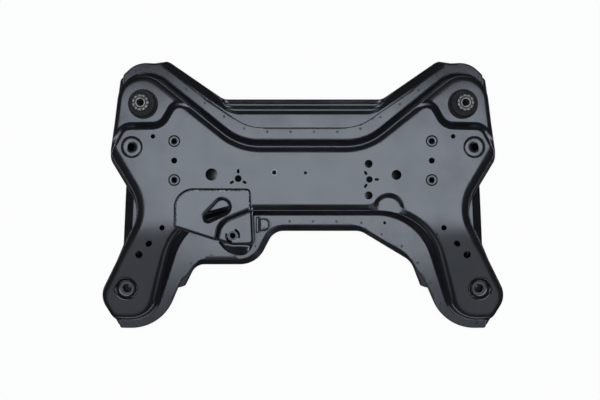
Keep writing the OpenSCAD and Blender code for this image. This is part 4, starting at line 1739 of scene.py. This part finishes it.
@dataclass
class SpotWelds:
    """The row of spot-weld marks that joins the two flanges.

    Attributes:
        pitch: Distance from mark to mark.
        inset: Distance from the flange's edge.
        radius: Radius of a mark.
        sizes: Least and greatest size of a mark.
        seed: Seed of the marks' sizes.
    """

    pitch: float = 58.0
    inset: float = 11.0
    radius: float = 3.0
    sizes: Pair = (0.8, 1.15)
    seed: int = 11

    def places(self, upper: UpperPressing) -> Array:
        """Places of the marks: along the flange's edge, where the flange is wide enough.

        Args:
            upper: The upper pressing.

        Returns:
            Rows of (x, y, z) in millimetres.
        """
        line = upper.flange_edge().inset_ring(self.inset, 3.0, 40)
        along = np.concatenate([[0.0], np.cumsum(np.linalg.norm(np.diff(line, axis=0), axis=1))])
        count = int(along[-1] / self.pitch)
        at = (np.arange(count) + 0.35) * along[-1] / count
        spots = np.stack([np.interp(at, along, line[:, k]) for k in range(2)], axis=1)
        foot = upper.crest_ring(upper.foot_runs)
        clear = ~inside_ring(spots, foot) & (ring_distance(spots, foot) > self.radius + 2)
        for hole in upper.locating_holes:
            clear &= np.linalg.norm(spots - hole, axis=1) > 3 * upper.locating_r
        return raised(spots[clear], upper.places.flange_z + upper.sheet)

    def build(self, upper: UpperPressing, finish: Material) -> Object:
        """Make the marks as shallow craters.

        Args:
            upper: The upper pressing.
            finish: Material of the marks.

        Returns:
            The finished piece.
        """
        r = self.radius
        profile = [(r, -0.4), (r, 0.0), (r - 0.6, 0.4), (r - 1.1, 0.5), (r - 1.7, 0.35)]
        profile += [(0.8, 0.05), (0.3, 0.02), (0.3, -0.4)]
        crater = new_piece("spot_mark_shape", lathe_mesh("spot_mark_shape", profile, (0.0, 0.0), 16))
        mesh = bpy.data.meshes.new("spot_welds")
        mesh.from_pydata(self.places(upper) * MM, [], [])
        thing = new_piece("spot_welds", mesh)
        tree = NodeModifier("spot_weld_marks")
        shape = tree.size("Mark", "NodeSocketObject", crater)
        info = tree.graph.node("GeometryNodeObjectInfo", {"Object": shape})
        sizes = tree.uneven(*self.sizes, self.seed)
        tree.close(tree.copies(Points=tree.geometry(), Instance=info.outputs["Geometry"], Scale=sizes), finish)
        tree.run(thing)
        bpy.data.objects.remove(crater)
        return place_piece(thing, "black_paint")


@dataclass
class TurnedFittings:
    """Arm spacers, rack nuts, the bracket nut and the rivet ring, turned with rolled edges.

    Attributes:
        sides: Steps round each axis.
        spacer_rise: Height of an arm spacer's head.
        nut_rise: Height of a rack nut's head.
        pocket_r: Radius of the bracket nut's shank.
        nut_foot: Lower end of the bracket nut's sleeve.
        rivet_at: Place of the rivet ring.
        rivet_r: Radius inside which the rivet is painted.
    """

    sides: int = 72
    spacer_rise: float = 4.0
    nut_rise: float = 3.0
    pocket_r: float = 6.6
    nut_foot: float = 51.0
    rivet_at: Pair = (-70.0, 55.0)
    rivet_r: float = 6.0

    # rows of (radius, height above the seat), from the outer edge in
    spacer_head = (
        (27.0, 0.0), (27.0, 0.8), (26.7, 1.0), (22.6, 3.35), (22.1, 3.5), (10.2, 3.5), (9.4, 3.1), (9.0, 2.2),
    )
    nut_head = (
        (14.6, 0.0), (14.6, 1.2), (14.3, 1.4), (11.9, 2.85), (11.4, 3.0), (7.0, 3.0), (6.3, 2.6), (5.2, 1.0),
    )
    pocket_nut = (
        (19.8, -14.0), (19.8, -12.5), (8.0, -5.4), (6.9, -2.6), (6.9, 0.0), (11.0, 0.0), (11.0, 4.2), (10.5, 4.8),
        (9.9, 5.0), (7.2, 5.0), (6.6, 4.6), (6.2, 3.8), (6.0, -15.0), (0.2, -18.4),
    )

    def turn(self, name: str, finish: Material, head: Sequence[Pair], level: float, shank: Pair) -> Object:
        """Make one fitting round the axis of its CAD node.

        Args:
            name: CAD node that the piece stands for.
            finish: Material of the piece.
            head: Profile of its head.
            level: Height of the head's seat.
            shank: Radius and foot of the shank below the head.

        Returns:
            The finished piece.
        """
        keys = [(r, level + z) for r, z in head]
        keys = [shank, (shank[0], keys[0][1]), *keys, (keys[-1][0], shank[1])]
        mesh = lathe_mesh(f"{name}_turned", keys, node_axis(name), self.sides)
        mesh.materials.append(finish)
        thing = new_piece(f"{name}_turned", mesh)
        settle(thing)
        return place_piece(thing, "black_paint", name)

    def rivet(self, bare: Material, paint: Material) -> Object:
        """Make the rivet ring in the panel's small left hole.

        Args:
            bare: Material of the worn rim.
            paint: Material inside the rim.

        Returns:
            The finished piece.
        """
        level = node_levels("upper_pressing")[1]
        keys = [(7.1, level - 4.0), (7.1, level + 0.3), (6.7, level + 0.7), (6.1, level + 0.7), (4.6, level - 0.6)]
        keys += [(4.0, level - 8.0), (0.2, level - 10.2), (0.2, level - 11.0), (4.6, level - 9.0)]
        mesh = lathe_mesh("rivet_ring", keys, self.rivet_at, 48)
        mesh.materials.append(bare)
        mesh.materials.append(paint)
        for face in mesh.polygons:
            reach = math.hypot(face.center.x / MM - self.rivet_at[0], face.center.y / MM - self.rivet_at[1])
            face.material_index = int(reach < self.rivet_r)
        thing = new_piece("rivet_ring", mesh)
        settle(thing)
        return place_piece(thing, "bare_steel")

    def build(self, finish: Material) -> None:
        """Make all turned fittings.

        Args:
            finish: Material of the fittings.
        """
        for side in SIDES:
            rows = [(f"{side}_arm_spacer", self.spacer_head, self.spacer_rise, PressedShape.spacer_r)]
            for row in ("rear", "front"):
                rows.append((f"{side}_{row}_rack_nut", self.nut_head, self.nut_rise, PressedShape.nut_r))
            for name, head, rise, shank_r in rows:
                foot, top = node_levels(name)
                self.turn(name, finish, head, top - rise, (shank_r, foot))
        level = node_levels("bracket_nut")[0]
        self.turn("bracket_nut", finish, self.pocket_nut, level, (self.pocket_r, self.nut_foot))


@dataclass
class Bracket:
    """The pressed bracket at the front left: turned-down edge, flared hole, pocket and hanging skirt.

    Attributes:
        sheet: Sheet thickness.
        rise: How far its face stands above its welded edge.
        edge_run: Width of the turned-down edge.
        flare: Width of the flare round the hole.
        flare_depth: Depth of that flare.
        pocket_drop: Depth of the pocket.
        pocket_run: Width of the step down to it.
        nut_at: Place of the nut.
        nut_hole_r: Radius of the hole below it.
        gap_radii: Inner and outer radius of the curved gaps beside it.
        seam_run: Distance of the welded seam from the edge.
    """

    sheet: float = 2.5
    rise: float = 3.2
    edge_run: float = 7.0
    flare: float = 9.5
    flare_depth: float = 4.4
    pocket_drop: float = 20.0
    pocket_run: float = 13.0
    nut_at: Pair = (-173.0, -100.0)
    nut_hole_r: float = 7.0
    gap_radii: Pair = (12.4, 18.6)
    seam_run: float = 6.2

    outline = Outline(
        (
            (-315.0, 17.0, 48.0),
            (-315.0, -79.0, 8.0),
            (-173.0, -124.0, 24.0),
            (-121.0, -123.0, 12.0),
            (-127.0, 16.0, 12.0),
        )
    )
    pocket = Outline(((-223.0, -170.0, 5.0), (-80.0, -170.0, 5.0), (-80.0, -16.0, 5.0), (-203.0, -66.0, 45.0)))
    hole_ends = ((-197.0, -29.0, 15.5), (-231.0, -53.5, 7.5))
    gap_angles = ((160.0, 262.0), (-22.0, 72.0))
    skirt_foot = (
        (-212.0, -118.0), (-203.0, -131.0), (-188.0, -144.0), (-166.0, -152.0),
        (-146.0, -151.0), (-131.0, -139.0), (-124.0, -121.0),
    )
    # share of the skirt's drop, and share of the way out to its foot
    skirt_profile = (
        (1.0, 1.0), (0.985, 0.93), (0.94, 0.84), (0.8, 0.58), (0.66, 0.32), (0.54, 0.09), (0.48, 0.05), (0.0, 0.0),
    )

    def __post_init__(self) -> None:
        """Read the level of the face from the CAD node."""
        self.face_z = node_levels("mount_bracket")[1]

    def edge_ring(self, run: float) -> Array:
        """Ring a run inside the outline."""
        return self.outline.inset_ring(run, 5.0, (48, 56, 20, 48, 56))

    def pocket_ring(self, run: float) -> Array:
        """Ring a run inside the middle line of the pocket's step."""
        return self.pocket.inset_ring(run, 3.0, (30, 30, 50, 40))

    def hole_ring(self, grow: float) -> Array:
        """Ring of the drop-shaped hole.

        Args:
            grow: Run by which it is grown.

        Returns:
            Rows of (x, y).
        """
        (x, y, r), (u, v, s) = self.hole_ends
        way = math.atan2(v - y, u - x)
        spread = math.acos((r - s) / math.hypot(u - x, v - y))
        small = np.linspace(way - spread, way + spread, 24)
        large = np.linspace(way + spread, way - spread + 2 * math.pi, 48)
        ends = [np.stack([u + (s + grow) * np.cos(small), v + (s + grow) * np.sin(small)], axis=1)]
        ends.append(np.stack([x + (r + grow) * np.cos(large), y + (r + grow) * np.sin(large)], axis=1))
        share = np.linspace(0.0, 1.0, 22)[1:-1, None]
        up = ends[0][-1] + (ends[1][0] - ends[0][-1]) * share
        down = ends[1][-1] + (ends[0][0] - ends[1][-1]) * share
        return np.concatenate([ends[0], up, ends[1], down])

    def gap_ring(self, start: float, stop: float) -> Array:
        """Ring of a curved gap beside the nut.

        Args:
            start: Angle of one end, in degrees.
            stop: Angle of the other end.

        Returns:
            Rows of (x, y).
        """
        angle = np.radians(np.linspace(start, stop, 16))
        unit = np.stack([np.cos(angle), np.sin(angle)], axis=1)
        inner, outer = self.gap_radii
        return np.concatenate([unit * outer, unit[::-1] * inner]) + self.nut_at

    def height(self, points: Array) -> Array:
        """Height of the upper face.

        Args:
            points: Rows of (x, y).

        Returns:
            Array of heights.
        """
        edge = smoothstep(ring_distance(points, self.edge_ring(0.0)) / self.edge_run)
        flare = np.clip(1.0 - ring_distance(points, self.hole_ring(0.0)) / self.flare, 0.0, 1.0) ** 1.5
        step = self.pocket_ring(0.0)
        depth = ring_distance(points, step) * np.where(inside_ring(points, step), 1, -1)
        drop = self.pocket_drop * smoothstep(depth / self.pocket_run + 0.5)
        return self.face_z + self.rise * edge - self.flare_depth * flare - drop

    def build(self, finish: Material) -> Object:
        """Make the bracket.

        Args:
            finish: Material of the sheet.

        Returns:
            The finished piece.
        """
        mesh = SheetMesh()
        edge, hole = self.edge_ring(0.0), self.hole_ring(0.0)
        holes = [hole, circle_ring(*self.nut_at, self.nut_hole_r, 32), *(self.gap_ring(*g) for g in self.gap_angles)]
        rows = [self.edge_ring(run) for run in np.linspace(0.7, self.edge_run * 1.1, 9)]
        rows += [self.hole_ring(run) for run in np.linspace(0.7, self.flare * 1.1, 10)]
        steps = [self.pocket_ring(run) for run in np.linspace(-0.58, 0.58, 13) * self.pocket_run]
        coarse = grid_points(edge, 6.0)
        coarse = coarse[ring_distance(coarse, self.pocket_ring(0.0)) > 0.7 * self.pocket_run]
        coarse = coarse[ring_distance(coarse, edge) > 1.3 * self.edge_run]
        coarse = coarse[ring_distance(coarse, hole) > 1.3 * self.flare]
        band = clear_of(np.concatenate(steps), edge, (), 1.2)
        mesh.fill(edge, holes, self.height, [coarse, band, *rows], 0.6)
        self._skirt(mesh)
        self._shelf(mesh)
        thing = mesh.piece("bracket_sheet", self.sheet, finish)
        return place_piece(thing, "black_paint", "mount_bracket")

    def _skirt(self, mesh: SheetMesh) -> None:
        """Add the skirt that hangs from the front edge of the pocket to the flange.

        Args:
            mesh: Faces of the sheet.
        """
        foot = np.array(self.skirt_foot)
        share = np.linspace(0, len(foot) - 1, 40)
        low = np.stack([np.interp(share, np.arange(len(foot)), foot[:, k]) for k in range(2)], axis=1)
        for _ in range(6):
            low[1:-1] = (low[:-2] + 2 * low[1:-1] + low[2:]) / 4
        top_x = np.clip(low[:, 0], -205.0, -124.0)
        top = np.column_stack([top_x, np.where(top_x < -173.0, -122.0 - 0.31 * (top_x + 173.0), -122.0)])
        top_z = self.height(top) - 1.0
        foot_z = node_levels("upper_pressing")[0] + 3.0
        rows = []
        for drop, out in self.skirt_profile:
            rows.append(raised(top + (low - top) * out, top_z + (foot_z - top_z) * drop))
        mesh.sweep(rows, closed=False)

    def _shelf(self, mesh: SheetMesh) -> None:
        """Add the shelf that shows in the upper half of the hole, flush with the panel.

        Args:
            mesh: Faces of the sheet.
        """
        level = node_levels("upper_pressing")[1] + 0.2
        x = np.linspace(-250.0, -172.0, 24)
        slant, rear = 0.26 * (x + 250.0), np.full(24, 2.0)
        rows = []
        for y, z in ((-45.5 + slant, -1.2), (-44.0 + slant, 0.0), (rear, 0.0)):
            rows.append(raised(np.column_stack([x, y]), level + z))
        mesh.sweep(rows, closed=False)

    def seam(self) -> list[Array]:
        """Welded seam along the edge, and the blobs at its right end.

        Returns:
            Open paths of (x, y, z) rows.
        """
        ring = self.edge_ring(self.seam_run)
        angle = np.unwrap(np.arctan2(ring[:, 1] + 50, ring[:, 0] + 220))
        path = ring[np.argsort(np.mod(angle + math.radians(40), 2 * math.pi))]
        welded = (path[:, 1] > -74) & ((path[:, 0] < -200) | (path[:, 1] > -34))
        path = path[welded]
        side = np.column_stack([np.full(12, -124.5), np.linspace(-26.0, -48.0, 12)])
        return [raised(path, self.height(path) - 0.2), raised(side, self.height(side - [3.0, 0.0]) + 0.6)]


@dataclass
class ClipTab:
    """The small clip beside the bracket: a rounded tongue with a rolled edge and an upright rib.

    Attributes:
        sheet: Sheet thickness.
        roll: Width of the rolled edge.
        rib: Width of the rib.
        root_gap: Distance from the rib to the tongue.
        rib_past: How far the rib stands past the tongue at each end.
    """

    sheet: float = 2.0
    roll: float = 2.6
    rib: float = 8.0
    root_gap: float = 2.0
    rib_past: float = 4.0

    @staticmethod
    def _box(low: Array, high: Array, left_r: float, right_r: float) -> Outline:
        """Rectangle with rounded corners.

        Args:
            low: Lowest corner.
            high: Highest corner.
            left_r: Radius of the left corners.
            right_r: Radius of the right corners.

        Returns:
            The outline.
        """
        (x, y), (u, v) = low[:2], high[:2]
        return Outline(((x, y, left_r), (u, y, right_r), (u, v, right_r), (x, v, left_r)))

    def build(self, finish: Material) -> Object:
        """Make the clip.

        Args:
            finish: Material of the sheet.

        Returns:
            The finished piece.
        """
        low, high = (np.array(corner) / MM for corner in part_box("clip_tab"))
        round_end = (high[1] - low[1]) * 0.42
        tongue = self._box(low + [self.rib + self.root_gap, 0, 0], high, 2.0, round_end)
        rib_low, rib_high = (low[0], low[1] - self.rib_past), (low[0] + self.rib, high[1] + self.rib_past)
        upright = self._box(np.array(rib_low), np.array(rib_high), 1.0, 1.0)
        mesh = SheetMesh()
        for shape in (tongue, upright):
            rings = []
            for run, drop in ((0.0, 5.0), (0.15, 1.75), (0.4, 1.5), (self.roll - 0.3, 0.1), (self.roll, 0.0)):
                rings.append(raised(shape.inset_ring(run, 8.0, 10), high[2] - drop))
            mesh.sweep(rings)
            mesh.fill(rings[-1][:, :2], (), float(high[2]))
        return place_piece(mesh.piece("clip_sheet", self.sheet, finish), "black_paint", "clip_tab")


@dataclass
class Fittings:
    """CAD nodes whose shape is right: they keep it and get a finish, soft edges and smooth rounds.

    Attributes:
        edge: Radius of the softened edges.
    """

    edge: float = 1.35
    dull = ("{side}_bush_housing", "{side}_bush_outer_sleeve")
    painted = ("{side}_horn_spacer",)

    def dress(self, nodes: dict[str, Object], paint: Material, dull: Material) -> None:
        """Give the nodes their finish.

        Args:
            nodes: CAD objects by name.
            paint: Material of the spacers.
            dull: Material of the rings round the bushes.
        """
        rows = [(n, paint) for n in self.painted] + [(n, dull) for n in self.dull]
        for name, finish in [(n.format(side=side), f) for n, f in rows for side in SIDES]:
            thing = nodes[name]
            for slot in thing.material_slots:
                slot.material = finish
            weld = thing.modifiers.new("joints", "WELD")
            weld.merge_threshold = 0.01 * MM
            soften(thing, self.edge, 35.0).harden_normals = True
            log.info("%s: dressed", name)


@dataclass
class Studio:
    """Plain pale floor with painted shade under the part, soft light and the camera above the part.

    Attributes:
        camera_at: Place of the camera in metres.
        lens: Focal length on a sensor 36 mm wide.
        card_size: Width and depth of the overhead light.
        card_y: Place of its middle, fore and aft.
        card_height: Height of the overhead light.
        card_power: Power of the overhead light in watts.
        edge_depth: Depth of the softer band along its front edge.
        edge_power: Power of that band in watts.
        dim_at: Place of the right dim card in front of it, sideways and fore and aft.
        dim_size: Width and depth of each dim card.
        dim_power: Power of each dim card in watts.
        strip_size: Width and height of each low side light.
        strip_power: Power of each low side light in watts.
        light: Colour of the lights.
        sky: Brightness of the dim surroundings.
        reach: Half width of the floor.
    """

    camera_at: Triple = (-0.0073, -0.0122, 1.75)
    lens: float = 40.7
    card_size: Pair = (2.5, 1.10)
    card_y: float = 0.14
    card_height: float = 2.5
    card_power: float = 46.5
    edge_depth: float = 0.2
    edge_power: float = 2.2
    dim_at: Pair = (1.25, -1.55)
    dim_size: Pair = (1.3, 1.7)
    dim_power: float = 6.5
    strip_size: Pair = (3.0, 0.4)
    strip_power: float = 20.0
    light: Triple = (0.79, 0.87, 1.0)
    sky: float = 0.05
    reach: float = 14.0

    strips = {"rear_strip": (0, 2.4), "front_strip": (0, -2.4), "left_strip": (-2.6, 0), "right_strip": (2.6, 0)}

    def build(self) -> None:
        """Make the floor, the surroundings, the lights and the camera."""
        self._floor()
        self._sky()
        self._lights()
        self._camera()

    def _floor(self) -> None:
        """Make a wide white floor that takes a soft shadow from the lamps, with painted shade where ambient occlusion
        finds the part above it.
        """
        mesh = bpy.data.meshes.new("studio_floor")
        corners = [(x * self.reach, y * self.reach, 0) for x, y in ((-1, -1), (1, -1), (1, 1), (-1, 1))]
        mesh.from_pydata(corners, [], [(0, 1, 2, 3)])
        material = bpy.data.materials.new("studio_white")
        material.use_nodes = True
        graph = Graph(material.node_tree)
        graph.tree.nodes.clear()
        place = graph.node("ShaderNodeTexCoord").outputs["Object"]
        tone = graph.spread(graph.noise(place, 3.0, 2.0), 0.3, 0.7, (0.0, 1.0))
        # painted shade: ambient occlusion darkens the floor's colour to 0.05 and dims its white glow under and round
        # the part
        cover = graph.node("ShaderNodeAmbientOcclusion", {"Distance": 1.0})
        outside_painted_shade = graph.spread(cover.outputs["AO"], 0.12, 0.40, (0.0, 0.95))
        pale = graph.mix(tone, (0.84, 0.84, 0.84, 1.0), (0.86, 0.86, 0.86, 1.0))
        shade = graph.mix(outside_painted_shade, (0.05, 0.05, 0.05, 1.0), pale)
        paper = graph.node("ShaderNodeBsdfDiffuse", {"Color": shade})
        white = graph.node("ShaderNodeEmission")
        seen = graph.node("ShaderNodeLightPath").outputs["Is Camera Ray"]
        share = graph.math("MULTIPLY", seen, outside_painted_shade)
        blend = graph.node("ShaderNodeMixShader", {0: share, 1: paper.outputs[0], 2: white.outputs[0]})
        graph.node("ShaderNodeOutputMaterial", {"Surface": blend.outputs[0]})
        mesh.materials.append(material)
        floor = new_piece("studio_floor", mesh)
        floor.visible_glossy = False

    def _sky(self) -> None:
        """Make the dim surroundings, white where the camera looks past the floor."""
        world = bpy.data.worlds.new("studio_room")
        world.use_nodes = True
        graph = Graph(world.node_tree)
        graph.tree.nodes.clear()
        dim = graph.node("ShaderNodeBackground", {"Strength": self.sky})
        white = graph.node("ShaderNodeBackground")
        seen = graph.node("ShaderNodeLightPath").outputs["Is Camera Ray"]
        blend = graph.node("ShaderNodeMixShader", {0: seen, 1: dim.outputs[0], 2: white.outputs[0]})
        graph.node("ShaderNodeOutputWorld", {"Surface": blend.outputs[0]})
        bpy.context.scene.world = world

    def _lamp(self, name: str, size: Pair, power: float, at: Vector, to: Vector) -> None:
        """Add one soft rectangular light.

        Args:
            name: Name of the light.
            size: Width and height in metres.
            power: Power in watts.
            at: Place of the light.
            to: Point that it faces.
        """
        lamp = bpy.data.lights.new(name, "AREA")
        lamp.shape = "RECTANGLE"
        lamp.size, lamp.size_y = size
        lamp.energy = power
        lamp.color = self.light
        thing = new_piece(name, lamp)
        thing.location = at
        thing.rotation_euler = (to - at).to_track_quat("-Z", "Y").to_euler()
        thing.visible_camera = False

    def _lights(self) -> None:
        """Add the overhead card with its edge band, two dim cards in front, and four low strips."""
        down = Vector((0.0, 0.0001, -self.card_height))  # a hair to the rear, which settles the card's turn
        above = Vector((0.0, self.card_y, self.card_height))
        self._lamp("overhead_card", self.card_size, self.card_power, above, above + down)
        edge = above - Vector((0.0, (self.card_size[1] + self.edge_depth) / 2, 0.0))
        self._lamp("card_edge", (self.card_size[0], self.edge_depth), self.edge_power, edge, edge + down)
        for side, sign in zip(SIDES, (-1, 1)):
            dim = Vector((sign * self.dim_at[0], self.dim_at[1], self.card_height))
            self._lamp(f"{side}_dim_card", self.dim_size, self.dim_power, dim, dim + down)
        for name, (x, y) in self.strips.items():
            self._lamp(name, self.strip_size, self.strip_power, Vector((x, y, 0.35)), Vector((0.0, 0.0, 0.08)))

    def _camera(self) -> None:
        """Add the camera, straight above the part."""
        lens = bpy.data.cameras.new("studio_camera")
        lens.sensor_width = 36.0
        lens.lens = self.lens
        thing = new_piece("studio_camera", lens)
        thing.location = self.camera_at
        bpy.context.scene.camera = thing


def main() -> None:
    """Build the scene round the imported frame."""
    logging.basicConfig(level=logging.INFO, format="%(name)s: %(message)s")
    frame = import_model()
    bpy.context.scene.view_settings.view_transform = "Standard"
    places = MountPlaces.from_frame()
    paint = PaintFinish("dipped_black_paint").build()
    rubber = RubberFinish("bush_rubber").build()
    steel = SteelFinish("turned_steel", (places.bush[0] * MM, places.bush[1] * MM)).build()
    weld = WeldFinish("painted_weld").build()

    upper = UpperPressing(places)
    upper.build(paint)
    LowerPressing(places).build(paint)
    for side in SIDES:
        bush = RearBush(side)
        bush.rubber(rubber)
        bush.sleeve(steel)
    Fittings().dress(frame["nodes"], paint, rubber)
    turned = TurnedFittings()
    turned.build(paint)
    rivet_axis = (turned.rivet_at[0] * MM, turned.rivet_at[1] * MM)
    bright = (0.80, 0.79, 0.77, 1.0)
    bare = SteelFinish("rivet_steel", rivet_axis, bore_r=0.0004, rim_r=0.0058, colour=bright).build()
    turned.rivet(bare, paint)
    bracket = Bracket()
    bracket.build(paint)
    ClipTab().build(paint)
    WeldBead("bracket_seam").build(bracket.seam(), weld)
    SpotWelds().build(upper, paint)
    Studio().build()


if __name__ == "__main__":
    main()
